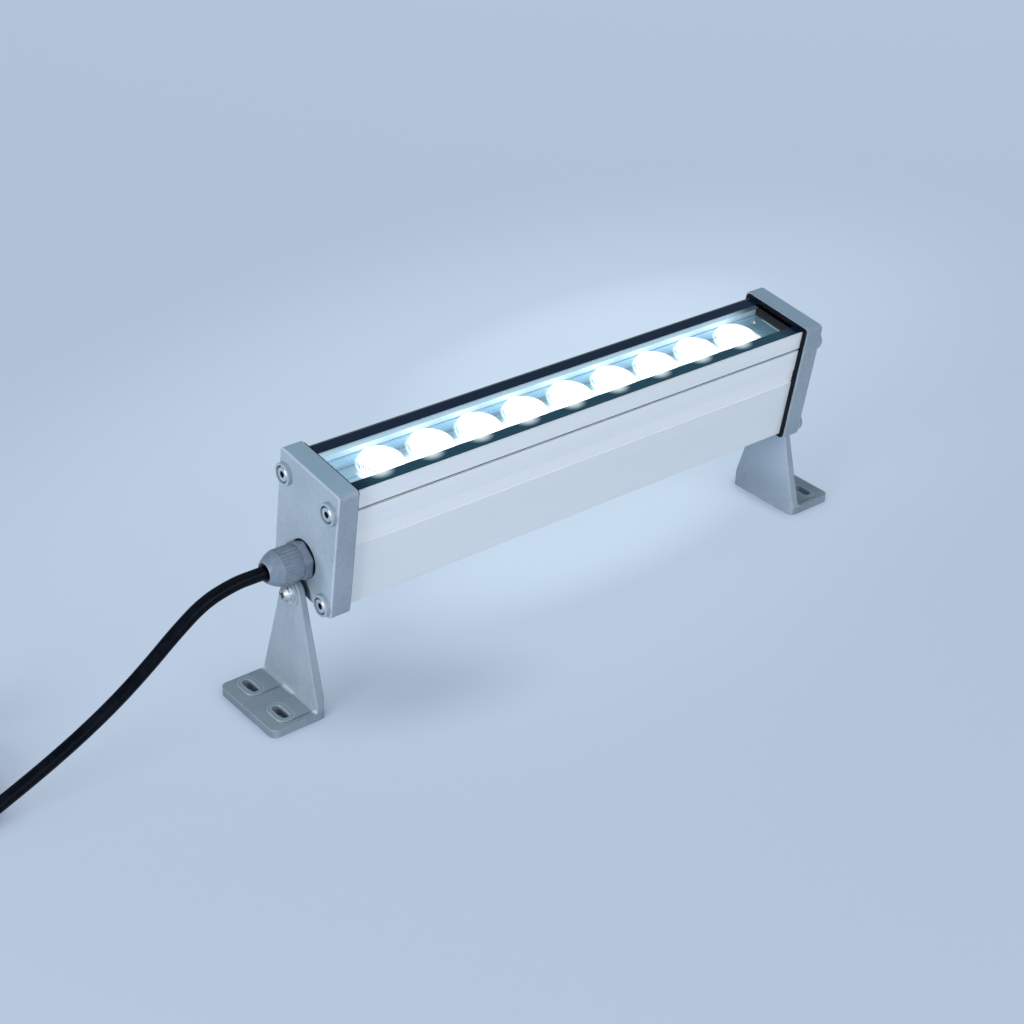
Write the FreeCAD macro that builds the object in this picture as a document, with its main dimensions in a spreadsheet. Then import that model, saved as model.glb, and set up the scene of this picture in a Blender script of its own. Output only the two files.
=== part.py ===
"""Outdoor wall washer light, 300 mm bar with nine lenses on two tilting feet, in millimetres.

Frame: X runs along the lamp with the cable at -X, -Y is the front and Z is up. The origin is on
the ground under the middle of the lamp and its feet. The lamp's own parts are drawn square, about
the pivot axis, and then tilted about that axis by their Placement.
"""

import FreeCAD, Part
import math
import os
import re

import Sketcher

Vector = FreeCAD.Vector

# ------------------------------------------------------------------ driving dimensions

SIZES = {
    # whole lamp
    "lamp_length": 300.0,
    "lamp_tilt": 7.05,
    "pivot_height": 57.6,
    # extruded housing
    "housing_width": 39.2,
    "housing_height": 62.2,
    "housing_drop": 1.0,
    "housing_wall": 1.9,
    "housing_edge": 0.5,
    "lip_width": 0.9,
    "ledge_width": 6.2,
    "ledge_depth": 6.6,
    "lug_size": 6.1,
    "web_thickness": 3.5,
    "groove_below_top": 9.9,
    "groove_width": 0.8,
    "groove_depth": 0.7,
    "band_below_top": 22.4,
    "band_height": 7.5,
    "band_depth": 0.35,
    # glass and its black edge seals
    "glass_thickness": 4.0,
    "glass_clearance": 0.1,
    "seal_thickness": 0.8,
    "seal_width": 6.15,
    # light engine
    "led_count": 9.0,
    "led_pitch": 27.75,
    "lens_gap": 1.7,
    "lens_height": 11.5,
    "lens_radius": 10.4,
    "lens_rim": 2.4,
    "lens_rim_step": 0.5,
    "lens_foot_radius": 6.6,
    "lens_cavity_radius": 3.1,
    "lens_cavity_height": 3.2,
    "led_side": 3.45,
    "led_height": 0.9,
    "led_dome_radius": 1.4,
    "led_dome_height": 0.8,
    "board_thickness": 1.6,
    "board_side_clearance": 2.7,
    "board_margin": 7.0,
    "pad_thickness": 0.5,
    "board_screw_radius": 1.25,
    "board_screw_head_radius": 2.5,
    "board_screw_head_height": 1.6,
    "board_screw_from_end": 5.0,
    "board_screw_side": 8.0,
    "board_screw_length": 5.0,
    # driver in the lower chamber
    "liner_thickness": 0.4,
    "driver_length": 190.0,
    "driver_side_clearance": 1.2,
    "driver_board_thickness": 1.6,
    "driver_shift": 6.0,
    "transformer_length": 24.0,
    "transformer_width": 20.0,
    "transformer_height": 19.0,
    "choke_radius": 8.0,
    "choke_hole_radius": 3.2,
    "choke_height": 12.0,
    "capacitor_radius": 6.2,
    "capacitor_height": 22.0,
    "terminal_length": 10.0,
    "terminal_width": 16.0,
    "terminal_height": 10.0,
    "wire_radius": 0.9,
    "wire_spread": 5.0,
    "wire_hole_radius": 4.0,
    "wire_hole_from_end": 13.5,
    "wire_lead": 9.0,
    "wire_tail": 5.0,
    "wire_gap": 0.1,
    "wire_bend": 3.0,
    "wire_rise_bend": 4.0,
    "wire_top_bend": 1.2,
    # cast end caps and their gaskets
    "gasket_thickness": 1.0,
    "gasket_margin": 2.0,
    "gasket_corner": 1.8,
    "gasket_window_wall": 8.6,
    "cap_thickness": 10.5,
    "cap_side_margin": 3.15,
    "cap_low_margin": 2.35,
    "cap_high_margin": 2.65,
    "cap_corner": 2.4,
    "cap_edge": 0.8,
    "cap_pocket_depth": 4.5,
    "cap_pocket_wall": 11.0,
    "boss_radius": 5.4,
    "boss_height": 2.4,
    "boss_edge": 0.5,
    # cap screws
    "screw_from_side": 2.4,
    "screw_above_base": 3.1,
    "screw_below_ledge": 3.8,
    "screw_core_radius": 1.7,
    "screw_core_clearance": 0.05,
    "screw_hole_radius": 2.4,
    "screw_head_radius": 3.5,
    "screw_head_height": 4.0,
    "screw_head_proud": 2.1,
    "screw_head_edge": 0.35,
    "screw_seat_clearance": 0.75,
    "screw_socket_width": 3.0,
    "screw_socket_depth": 2.2,
    "screw_length": 22.0,
    "screw_tip_clearance": 0.3,
    # cable gland
    "gland_height": 16.85,
    "gland_ring_thickness": 0.9,
    "gland_ring_radius": 9.3,
    "gland_hex_width": 17.0,
    "gland_hex_thickness": 3.6,
    "gland_thread_radius": 6.0,
    "gland_thread_clearance": 0.05,
    "gland_ring_clearance": 0.1,
    "gland_hex_trim_radius": 9.35,
    "gland_bore_radius": 4.6,
    "gland_neck_radius": 6.6,
    "gland_neck_length": 9.0,
    "gland_nut_radius": 8.6,
    "gland_nut_straight": 10.0,
    "gland_nut_length": 16.4,
    "gland_nose_radius": 5.2,
    "gland_mouth_radius": 3.5,
    "gland_nut_clearance": 0.05,
    "gland_seal_gap": 0.2,
    "gland_seal_overlap": 1.0,
    "gland_locknut_width": 15.0,
    "gland_locknut_thickness": 3.0,
    # free cable
    "cable_radius": 3.15,
    "cable_fit": 0.02,
    "cable_inside": 3.0,
    "coil_radius": 31.5,
    "coil_centre_x": -334.0,
    "connector_behind_coil": 8.0,
    "connector_beside_coil": 26.0,
    # connector on the cable's end
    "connector_radius": 6.2,
    "connector_nut_radius": 7.4,
    "connector_boot_length": 14.0,
    "connector_boot_wall": 0.8,
    "connector_body_length": 14.0,
    "connector_nut_length": 16.0,
    "connector_nut_wall": 1.5,
    "connector_nut_clearance": 0.3,
    "connector_pin_radius": 1.0,
    "connector_pin_length": 9.0,
    "connector_pin_spread": 2.2,
    # pivot screw, washer and spacer at each end
    "pivot_gap": 2.9,
    "pivot_core_radius": 2.0,
    "pivot_clearance": 0.06,
    "pivot_washer_radius": 5.0,
    "pivot_washer_thickness": 0.8,
    "pivot_head_radius": 3.9,
    "pivot_head_height": 3.1,
    "pivot_crown_radius": 2.4,
    "pivot_recess_reach": 2.1,
    "pivot_recess_width": 1.0,
    "pivot_recess_depth": 1.8,
    "pivot_spacer_radius": 4.0,
    "pivot_bite": 6.0,
    # cast feet
    "foot_width": 45.0,
    "foot_reach": 29.0,
    "foot_thickness": 4.4,
    "foot_corner": 3.5,
    "foot_inner_corner": 3.0,
    "foot_edge": 0.6,
    "foot_root": 1.4,
    "upright_thickness": 3.5,
    "upright_root_thickness": 5.0,
    "upright_top_radius": 7.5,
    "pivot_pad_radius": 6.5,
    "pivot_pad_height": 0.5,
    "slot_width": 4.8,
    "slot_length": 11.0,
    "slot_spacing": 25.0,
    "slot_from_upright": 18.5,
    "slot_pad_margin": 2.2,
    "slot_pad_height": 0.9,
    "slot_pad_bite": 0.5,
}

# Places that follow from the sizes, written in the sheet's own expression language.
PLACES = {
    "half_length": "lamp_length / 2",
    "gasket_end": "half_length - cap_thickness",
    "housing_end": "gasket_end - gasket_thickness",
    "housing_top": "housing_height - housing_drop",
    "cap_width": "housing_width + 2 * cap_side_margin",
    "cap_drop": "housing_drop + cap_low_margin",
    "cap_top": "housing_top + cap_high_margin",
    "pivot_y": "(cap_top - cap_drop) * sin(lamp_tilt) / 2",
    "glass_low": "housing_top - glass_thickness",
    "ledge_top": "glass_low - seal_thickness",
    "ledge_inner": "housing_width / 2 - ledge_width",
    "chamber_half": "housing_width / 2 - housing_wall",
    "board_width": "2 * (chamber_half - board_side_clearance)",
    "driver_width": "2 * (chamber_half - driver_side_clearance)",
    "screw_side": "housing_width / 2 - screw_from_side",
    "screw_low": "screw_above_base - housing_drop",
    "screw_high": "ledge_top - screw_below_ledge",
    "lens_low": "glass_low - lens_gap - lens_height",
    "board_low": "lens_low - board_thickness",
    "web_top": "board_low - pad_thickness",
    "web_low": "web_top - web_thickness",
    "chamber_low": "housing_wall - housing_drop",
    "lug_top": "lug_size - housing_drop",
    "board_end": "housing_end - board_margin",
    "driver_low": "lug_top + liner_thickness",
    "driver_top": "driver_low + driver_board_thickness",
    "port_radius": "screw_core_radius + screw_core_clearance",
    "gasket_half_width": "housing_width / 2 + gasket_margin",
    "upright_in": "half_length + pivot_gap",
    "upright_out": "upright_in + upright_root_thickness",
    "upright_top_out": "upright_in + upright_thickness",
    "pivot_pad_face": "upright_top_out + pivot_pad_height",
    "foot_out": "upright_in + foot_reach",
    "gland_hex_start": "half_length + gland_ring_thickness",
    "gland_nut_start": "gland_hex_start + gland_hex_thickness",
    "gland_tip": "gland_nut_start + gland_nut_length",
    "gland_y": "pivot_y - gland_height * sin(lamp_tilt)",
    "gland_z": "pivot_height + gland_height * cos(lamp_tilt)",
    "coil_centre_y": "gland_y + coil_radius + cable_radius",
    "coil_height": "4 * cable_radius",
    "connector_start": "coil_centre_x - connector_behind_coil",
    "connector_y": "coil_centre_y + connector_beside_coil",
    "connector_z": "coil_height + connector_nut_radius",
}

# The free cable's route on the ground frame, from the gland to where it enters the coil. Each row
# is a point's X and its height of centre; the whole stretch hangs in one upright plane.
CABLE_ROUTE = (
    (-186.0, 74.4),
    (-201.5, 70.9),
    (-216.5, 60.6),
    (-230.5, 49.2),
    (-246.5, 37.9),
    (-264.0, 27.7),
    (-282.5, 18.6),
    (-301.0, 11.2),
    (-319.5, 6.0),
)

doc = FreeCAD.newDocument("WallWasher")
sheet = doc.addObject("Spreadsheet::Sheet", "Sizes")
for row, (alias, number) in enumerate(SIZES.items(), 1):
    sheet.set(f"A{row}", alias.replace("_", " "))
    sheet.set(f"B{row}", str(number))
    sheet.setAlias(f"B{row}", alias)
doc.recompute()

SUBPARTS = []


def expression(text):
    """The text with each size as a cell of the sheet and each place written out."""

    def word(match):
        name = match.group(0)
        if name in PLACES:
            return "(" + expression(PLACES[name]) + ")"
        return "Sizes." + name if name in SIZES else name

    return re.sub(r"[a-z][a-z0-9_]*", word, str(text))


def size(text):
    """The number that a size, a place or a sum of them has now."""
    value = sheet.evalExpression(expression(text))
    return float(getattr(value, "Value", value))


def bind(thing, **properties):
    """Ties properties such as Length, or Base_x for the placement's X, to the sheet."""
    for name, text in properties.items():
        path = name.replace("Base_", "Placement.Base.").replace("Offset_", "AttachmentOffset.Base.")
        thing.setExpression(path, expression(text))
    return thing


def tilted(thing):
    """Puts a part that is drawn about the pivot axis where the tilted lamp has it."""
    if thing.TypeId in ("Part::Box", "Part::Cylinder"):
        thing = group(thing.Name + "_in_lamp", thing)
    thing.Placement = FreeCAD.Placement(Vector(), FreeCAD.Rotation(Vector(1, 0, 0), 1))
    bind(thing, Base_y="pivot_y", Base_z="pivot_height")
    thing.setExpression("Placement.Rotation.Angle", expression("lamp_tilt"))
    return thing


def keep(thing, label):
    """Makes the object a sub-part of the lamp under that label."""
    thing.Label = label
    SUBPARTS.append(thing)
    return thing


# ------------------------------------------------------------------ solids that many parts use


def block(name, x, y, z):
    """A box from its (low, high) expressions along each axis."""
    box = doc.addObject("Part::Box", name)
    bind(box, Length=f"({x[1]}) - ({x[0]})", Width=f"({y[1]}) - ({y[0]})", Height=f"({z[1]}) - ({z[0]})")
    return bind(box, Base_x=x[0], Base_y=y[0], Base_z=z[0])


def rod(name, radius, start, end, y="0", z="0"):
    """A cylinder along X between two expressions."""
    cylinder = doc.addObject("Part::Cylinder", name)
    cylinder.Placement.Rotation = FreeCAD.Rotation(Vector(0, 1, 0), 90)
    bind(cylinder, Radius=radius, Height=f"({end}) - ({start})")
    return bind(cylinder, Base_x=start, Base_y=y, Base_z=z)


def post(name, radius, low, high, x="0", y="0"):
    """A cylinder along Z between two expressions."""
    cylinder = doc.addObject("Part::Cylinder", name)
    bind(cylinder, Radius=radius, Height=f"({high}) - ({low})")
    return bind(cylinder, Base_x=x, Base_y=y, Base_z=low)


def frustum(name, radius_1, radius_2, start, end, y="0", z="0", axis="x"):
    """A cone along X or Z between two expressions."""
    cone = doc.addObject("Part::Cone", name)
    bind(cone, Radius1=radius_1, Radius2=radius_2, Height=f"({end}) - ({start})")
    if axis == "x":
        cone.Placement.Rotation = FreeCAD.Rotation(Vector(0, 1, 0), 90)
        return bind(cone, Base_x=start, Base_y=y, Base_z=z)
    return bind(cone, Base_x=y, Base_y=z, Base_z=start)


def hexagon(name, width, start, end, y="0", z="0"):
    """A hexagonal bar along X with two flats up and down, by its width across flats."""
    prism = doc.addObject("Part::Prism", name)
    prism.Polygon = 6
    prism.Placement.Rotation = FreeCAD.Rotation(Vector(0, 1, 0), 90)
    bind(prism, Circumradius=f"({width}) / sqrt(3)", Height=f"({end}) - ({start})")
    return bind(prism, Base_x=start, Base_y=y, Base_z=z)


def cut(name, base, *tools):
    """The base without the tools."""
    result = doc.addObject("Part::Cut", name)
    result.Base = base
    result.Tool = tools[0] if len(tools) == 1 else fuse(name + "_tools", *tools)
    return result


def fuse(name, *solids):
    """The solids as one."""
    result = doc.addObject("Part::MultiFuse", name)
    result.Shapes = list(solids)
    return result


def group(name, *solids):
    """Separate solids in one sub-part, such as a set of screws."""
    result = doc.addObject("Part::Compound", name)
    result.Links = list(solids)
    return result


def corners():
    """The four screw places of an end cap, as (key, Y, Z) expressions about the pivot axis."""
    for key, sign in (("front", "-"), ("back", "")):
        yield key + "_low", sign + "screw_side", "screw_low"
        yield key + "_high", sign + "screw_side", "screw_high"


# ------------------------------------------------------------------ sketched bodies


def sketch_on(body, name, role, offset="0"):
    """A sketch on one of the body's own origin planes."""
    drawing = body.newObject("Sketcher::SketchObject", name)
    plane = next(f for f in body.Origin.OriginFeatures if f.Role == role)
    drawing.AttachmentSupport = (plane, [""])
    drawing.MapMode = "FlatFace"
    return bind(drawing, Offset_z=offset)


def hold(drawing, kind, where, text):
    """A dimension of the sketch, tied to the sheet."""
    index = drawing.addConstraint(Sketcher.Constraint(kind, *where, size(text)))
    drawing.setExpression(f"Constraints[{index}]", expression(text))


def rectangle(drawing, left, right, low, high):
    """A closed rectangle in the sketch, by the expressions of its four sides."""
    x0, x1, y0, y1 = size(left), size(right), size(low), size(high)
    spots = (Vector(x0, y0), Vector(x1, y0), Vector(x1, y1), Vector(x0, y1))
    first = drawing.GeometryCount
    for i in range(4):
        drawing.addGeometry(Part.LineSegment(spots[i], spots[(i + 1) % 4]))
    for i in range(4):
        drawing.addConstraint(Sketcher.Constraint("Coincident", first + i, 2, first + (i + 1) % 4, 1))
        drawing.addConstraint(Sketcher.Constraint(("Horizontal", "Vertical")[i % 2], first + i))
    hold(drawing, "DistanceX", (-1, 1, first, 1), left)
    hold(drawing, "DistanceX", (-1, 1, first + 1, 1), right)
    hold(drawing, "DistanceY", (-1, 1, first, 1), low)
    hold(drawing, "DistanceY", (-1, 1, first + 2, 1), high)


def circle(drawing, radius, across, up):
    """A circle in the sketch, by the expressions of its radius and centre."""
    index = drawing.addGeometry(
        Part.Circle(Vector(size(across), size(up)), Vector(0, 0, 1), size(radius))
    )
    hold(drawing, "Radius", (index,), radius)
    for kind, text in (("DistanceX", across), ("DistanceY", up)):
        if text == "0":
            axis = -2 if kind == "DistanceX" else -1
            drawing.addConstraint(Sketcher.Constraint("PointOnObject", index, 3, axis))
        else:
            hold(drawing, kind, (-1, 1, index, 3), text)


def feature(body, kind, name, drawing, length, away=False):
    """A pad or pocket of the sketch, by its length; away turns it round."""
    made = body.newObject("PartDesign::" + kind, name)
    made.Profile = drawing
    made.Reversed = away
    bind(made, Length=length)
    doc.recompute()
    return made


def rounded(body, name, base, radius, wanted):
    """A fillet on the edges of the base that the test picks."""
    edges = [f"Edge{i}" for i, edge in enumerate(base.Shape.Edges, 1) if wanted(edge)]
    made = body.newObject("PartDesign::Fillet", name)
    made.Base = (base, edges)
    bind(made, Radius=radius)
    doc.recompute()
    return made


def runs_along(edge, axis):
    """Whether a straight edge runs along the axis, 0 to 2 for X to Z."""
    if not isinstance(edge.Curve, Part.Line):
        return False
    return abs(edge.Curve.Direction[axis]) > 0.999


def lies_at(edge, axis, place):
    """Whether the whole edge lies in the plane across the axis at that place."""
    box = edge.BoundBox
    low = (box.XMin, box.YMin, box.ZMin)[axis]
    high = (box.XMax, box.YMax, box.ZMax)[axis]
    return abs(low - place) < 1e-4 and abs(high - place) < 1e-4


# ------------------------------------------------------------------ housing

BOARD_HOLE_RADIUS = "board_screw_radius + screw_core_clearance"


def board_screw_places():
    """The four screws of the LED board, as (key, X, Y) expressions."""
    for end, sign in (("left", "-"), ("right", "")):
        for edge, way in (("front", "-"), ("back", "")):
            yield f"{end}_{edge}", f"{sign}(board_end - board_screw_from_end)", f"{way}board_screw_side"


def housing():
    """Aluminium extrusion: a lamp trough over a driver chamber, with four screw ports."""
    body = doc.addObject("PartDesign::Body", "Housing")
    start = "-housing_end"
    half = "housing_width / 2"
    outline = sketch_on(body, "housing_outline", "YZ_Plane", start)
    rectangle(outline, "-" + half, half, "-housing_drop", "housing_top")
    base = feature(body, "Pad", "housing_bar", outline, "2 * housing_end")
    base = rounded(
        body,
        "housing_edges",
        base,
        "housing_edge",
        lambda e: runs_along(e, 0) and lies_at(e, 2, size("-housing_drop")),
    )
    channels = (
        ("glass_rebate", "-({0})", "{0}", "housing_width / 2 - lip_width", "ledge_top", "housing_top + 1"),
        ("lamp_slit", "-({0})", "{0}", "ledge_inner", "ledge_top - ledge_depth", "ledge_top + 1"),
        ("lamp_trough", "-({0})", "{0}", "chamber_half", "web_top", "ledge_top - ledge_depth"),
        ("driver_chamber", "-({0})", "{0}", "chamber_half", "lug_top", "web_low"),
        ("driver_floor", "-({0})", "{0}", "housing_width / 2 - lug_size", "chamber_low", "lug_top"),
    )
    for name, left, right, half_width, low, high in channels:
        drawing = sketch_on(body, name + "_outline", "YZ_Plane", start)
        rectangle(drawing, left.format(half_width), right.format(half_width), low, high)
        base = feature(body, "Pocket", name, drawing, "2 * housing_end", away=True)
    grooves = (
        ("groove", "groove_below_top", "groove_width", "groove_depth"),
        ("band", "band_below_top", "band_height", "band_depth"),
    )
    for name, below, height, depth in grooves:
        for side, near, far in (
            ("front", f"-{half} - 1", f"-{half} + {depth}"),
            ("back", f"{half} - {depth}", f"{half} + 1"),
        ):
            drawing = sketch_on(body, f"{name}_{side}_outline", "YZ_Plane", start)
            rectangle(drawing, near, far, f"housing_top - {below} - {height}", f"housing_top - {below}")
            base = feature(body, "Pocket", f"{name}_{side}", drawing, "2 * housing_end", away=True)
    for key, y, z in corners():
        drawing = sketch_on(body, f"port_{key}_outline", "YZ_Plane", start)
        circle(drawing, "port_radius", y, z)
        base = feature(body, "Pocket", f"port_{key}", drawing, "2 * housing_end", away=True)
    hole = sketch_on(body, "wire_hole_outline", "XY_Plane", "web_low - 1")
    circle(hole, "wire_hole_radius", "housing_end - wire_hole_from_end", "0")
    feature(body, "Pocket", "wire_hole", hole, "web_thickness + 2", away=True)
    for key, x, y in board_screw_places():
        floor = "lens_low - board_screw_length - screw_tip_clearance"
        drawing = sketch_on(body, f"board_hole_{key}_outline", "XY_Plane", floor)
        circle(drawing, BOARD_HOLE_RADIUS, x, y)
        feature(body, "Pocket", f"board_hole_{key}", drawing, "board_screw_length + 1", away=True)
    keep(tilted(body), "housing")


def glass():
    """Toughened glass cover in the housing's rebate, on two black edge seals."""
    side = "housing_width / 2 - lip_width - glass_clearance"
    ends = ("-housing_end", "housing_end")
    pane = block("Glass", ends, (f"-({side})", side), ("glass_low", "housing_top"))
    keep(tilted(pane), "glass_cover")
    strips = {"front": (f"-({side})", f"-({side}) + seal_width"), "back": (f"{side} - seal_width", side)}
    for name, y in strips.items():
        keep(tilted(block("Seal_" + name, ends, y, ("ledge_top", "glass_low"))), "glass_seal_" + name)


# ------------------------------------------------------------------ light engine


def light_engine():
    """Thermal pad, LED board, nine LEDs and lenses, and the board's screws."""
    ends = ("-board_end", "board_end")
    side = ("-board_width / 2", "board_width / 2")
    holes = list(board_screw_places())
    layers = (
        ("pad", "thermal_pad", "web_top", "board_low"),
        ("board", "led_board", "board_low", "lens_low"),
    )
    hole_radius = BOARD_HOLE_RADIUS
    wire_notch = "housing_end - wire_hole_from_end"
    for name, label, low, high in layers:
        through = (f"{low} - 1", f"{high} + 1")
        tools = [post(f"{name}_hole_{key}", hole_radius, *through, x, y) for key, x, y in holes]
        tools.append(
            post(f"{name}_wire_hole", "wire_hole_radius / 2", f"{low} - 1", f"{high} + 1", wire_notch, "0")
        )
        sheet_solid = block(name + "_sheet", ends, side, (low, high))
        keep(tilted(cut(name.capitalize(), sheet_solid, *tools)), label)
    screws = []
    for key, x, y in holes:
        head_top = "lens_low + board_screw_head_height"
        head = post(f"board_screw_head_{key}", "board_screw_head_radius", "lens_low", head_top, x, y)
        low = "lens_low - board_screw_length"
        shank = post(f"board_screw_shank_{key}", "board_screw_radius", low, "lens_low", x, y)
        screws.append(fuse("Board_screw_" + key, head, shank))
    keep(tilted(group("Board_screws", *screws)), "board_screws")
    count = int(SIZES["led_count"])
    for i in range(count):
        x = f"({i} - (led_count - 1) / 2) * led_pitch"
        half = "led_side / 2"
        led_top = "lens_low + led_height"
        across = (f"{x} - {half}", f"{x} + {half}")
        chip = block(f"Led_chip_{i}", across, (f"-{half}", half), ("lens_low", led_top))
        dome = post(f"Led_dome_{i}", "led_dome_radius", led_top, f"{led_top} + led_dome_height", x)
        keep(tilted(fuse(f"Led_{i}", chip, dome)), f"led_{i + 1}")
        rim_low = "lens_low + lens_height - lens_rim"
        under_rim = "lens_radius - lens_rim_step"
        cone = frustum(f"Lens_cone_{i}", "lens_foot_radius", under_rim, "lens_low", rim_low, x, "0", "z")
        rim = post(f"Lens_rim_{i}", "lens_radius", rim_low, "lens_low + lens_height", x)
        cavity_top = "lens_low + lens_cavity_height"
        cavity = post(f"Lens_cavity_{i}", "lens_cavity_radius", "lens_low - 1", cavity_top, x)
        keep(tilted(cut(f"Lens_{i}", fuse(f"Lens_solid_{i}", cone, rim), cavity)), f"lens_{i + 1}")


# ------------------------------------------------------------------ driver


# Where the capacitors stand, in transformer lengths from the driver's middle.
CAPACITOR_PLACES = (-1.1, 1.1, 1.75)


def driver():
    """Driver board on an insulating liner over the lower screw ports, with its components."""
    ends = ("driver_shift - driver_length / 2", "driver_shift + driver_length / 2")
    side = ("-driver_width / 2", "driver_width / 2")
    keep(tilted(block("Liner", ends, side, ("lug_top", "driver_low"))), "driver_liner")
    keep(tilted(block("Driver_board", ends, side, ("driver_low", "driver_top"))), "driver_board")
    x = "driver_shift"
    top = "driver_top"
    half_long = "transformer_length / 2"
    half_wide = "transformer_width / 2"
    core = block(
        "Transformer",
        (f"{x} - {half_long}", f"{x} + {half_long}"),
        (f"-{half_wide}", half_wide),
        (top, f"{top} + transformer_height"),
    )
    keep(tilted(core), "driver_transformer")
    choke_x = f"{x} - 2 * transformer_length"
    ring = post("Choke_ring", "choke_radius", top, f"{top} + choke_height", choke_x)
    hole = post("Choke_hole", "choke_hole_radius", f"{top} - 1", f"{top} + choke_height + 1", choke_x)
    keep(tilted(cut("Choke", ring, hole)), "driver_choke")
    can_top = f"{top} + capacitor_height"
    cans = [
        post(f"Capacitor_{i}", "capacitor_radius", top, can_top, f"{x} + {place} * transformer_length")
        for i, place in enumerate(CAPACITOR_PLACES)
    ]
    keep(tilted(group("Capacitors", *cans)), "driver_capacitors")
    for name, low in (("input", ends[0]), ("output", f"{ends[1]} - terminal_length")):
        terminal = block(
            "Terminal_" + name,
            (low, f"{low} + terminal_length"),
            ("-terminal_width / 2", "terminal_width / 2"),
            (top, f"{top} + terminal_height"),
        )
        keep(tilted(terminal), f"driver_{name}_terminal")


def bent_tube(points, radius, turns):
    """A round bar along straight runs that are joined by tangent arcs of the given radii."""
    edges = []
    at = points[0]
    for i, bend in zip(range(1, len(points) - 1), turns):
        back = (points[i - 1] - points[i]).normalize()
        ahead = (points[i + 1] - points[i]).normalize()
        half_turn = (math.pi - back.getAngle(ahead)) / 2
        reach = bend * math.tan(half_turn)
        start, end = points[i] + back * reach, points[i] + ahead * reach
        middle = points[i] + (back + ahead).normalize() * (bend / math.cos(half_turn) - bend)
        edges += [Part.LineSegment(at, start).toShape(), Part.Arc(start, middle, end).toShape()]
        at = end
    edges.append(Part.LineSegment(at, points[-1]).toShape())
    direction = points[1] - points[0]
    ring = Part.Wire([Part.Circle(points[0], direction, radius).toShape()])
    tube = Part.Wire(edges).makePipeShell([ring], True, False)
    length = sum(edge.Length for edge in edges)
    share = tube.Volume / (math.pi * radius**2 * length)
    if abs(share - 1) > 0.01:
        raise RuntimeError(f"a tube's volume is {share:.4f} of its section times its length")
    return tube, length


def wires():
    """Two pairs of single wires: gland to driver, and driver up through the web to the LEDs."""
    radius, lead = size("wire_radius"), size("wire_lead")
    cable_end = -size("half_length - cap_thickness + cap_pocket_depth - cable_inside")
    terminal_middle = size("driver_top + terminal_height / 2")
    left_end = size("driver_shift - driver_length / 2")
    right_end = size("driver_shift + driver_length / 2")
    board_top = size("lens_low + wire_radius")
    rise = size("housing_end - wire_hole_from_end")
    pairs = {"supply_wires": [], "led_wires": []}
    for side in (-1, 1):
        y = side * size("wire_spread") / 2
        y_up = side * (radius + size("wire_gap") / 2)
        start = Vector(cable_end, y_up, size("gland_height"))
        route = [
            start,
            start + Vector(lead, 0, 0),
            Vector(left_end - lead, y, terminal_middle),
            Vector(left_end, y, terminal_middle),
        ]
        tube, _ = bent_tube(route, radius, (size("wire_bend"),) * 2)
        pairs["supply_wires"].append(tube)
        route = [
            Vector(right_end, y_up, terminal_middle),
            Vector(rise, y_up, terminal_middle),
            Vector(rise, y_up, board_top),
            Vector(rise + size("wire_tail"), y_up, board_top),
        ]
        tube, _ = bent_tube(route, radius, (size("wire_rise_bend"), size("wire_top_bend")))
        pairs["led_wires"].append(tube)
    for label, tubes in pairs.items():
        wire = doc.addObject("Part::Feature", label.title())
        wire.Shape = Part.makeCompound(tubes)
        keep(tilted(wire), label)


# ------------------------------------------------------------------ end caps


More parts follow.
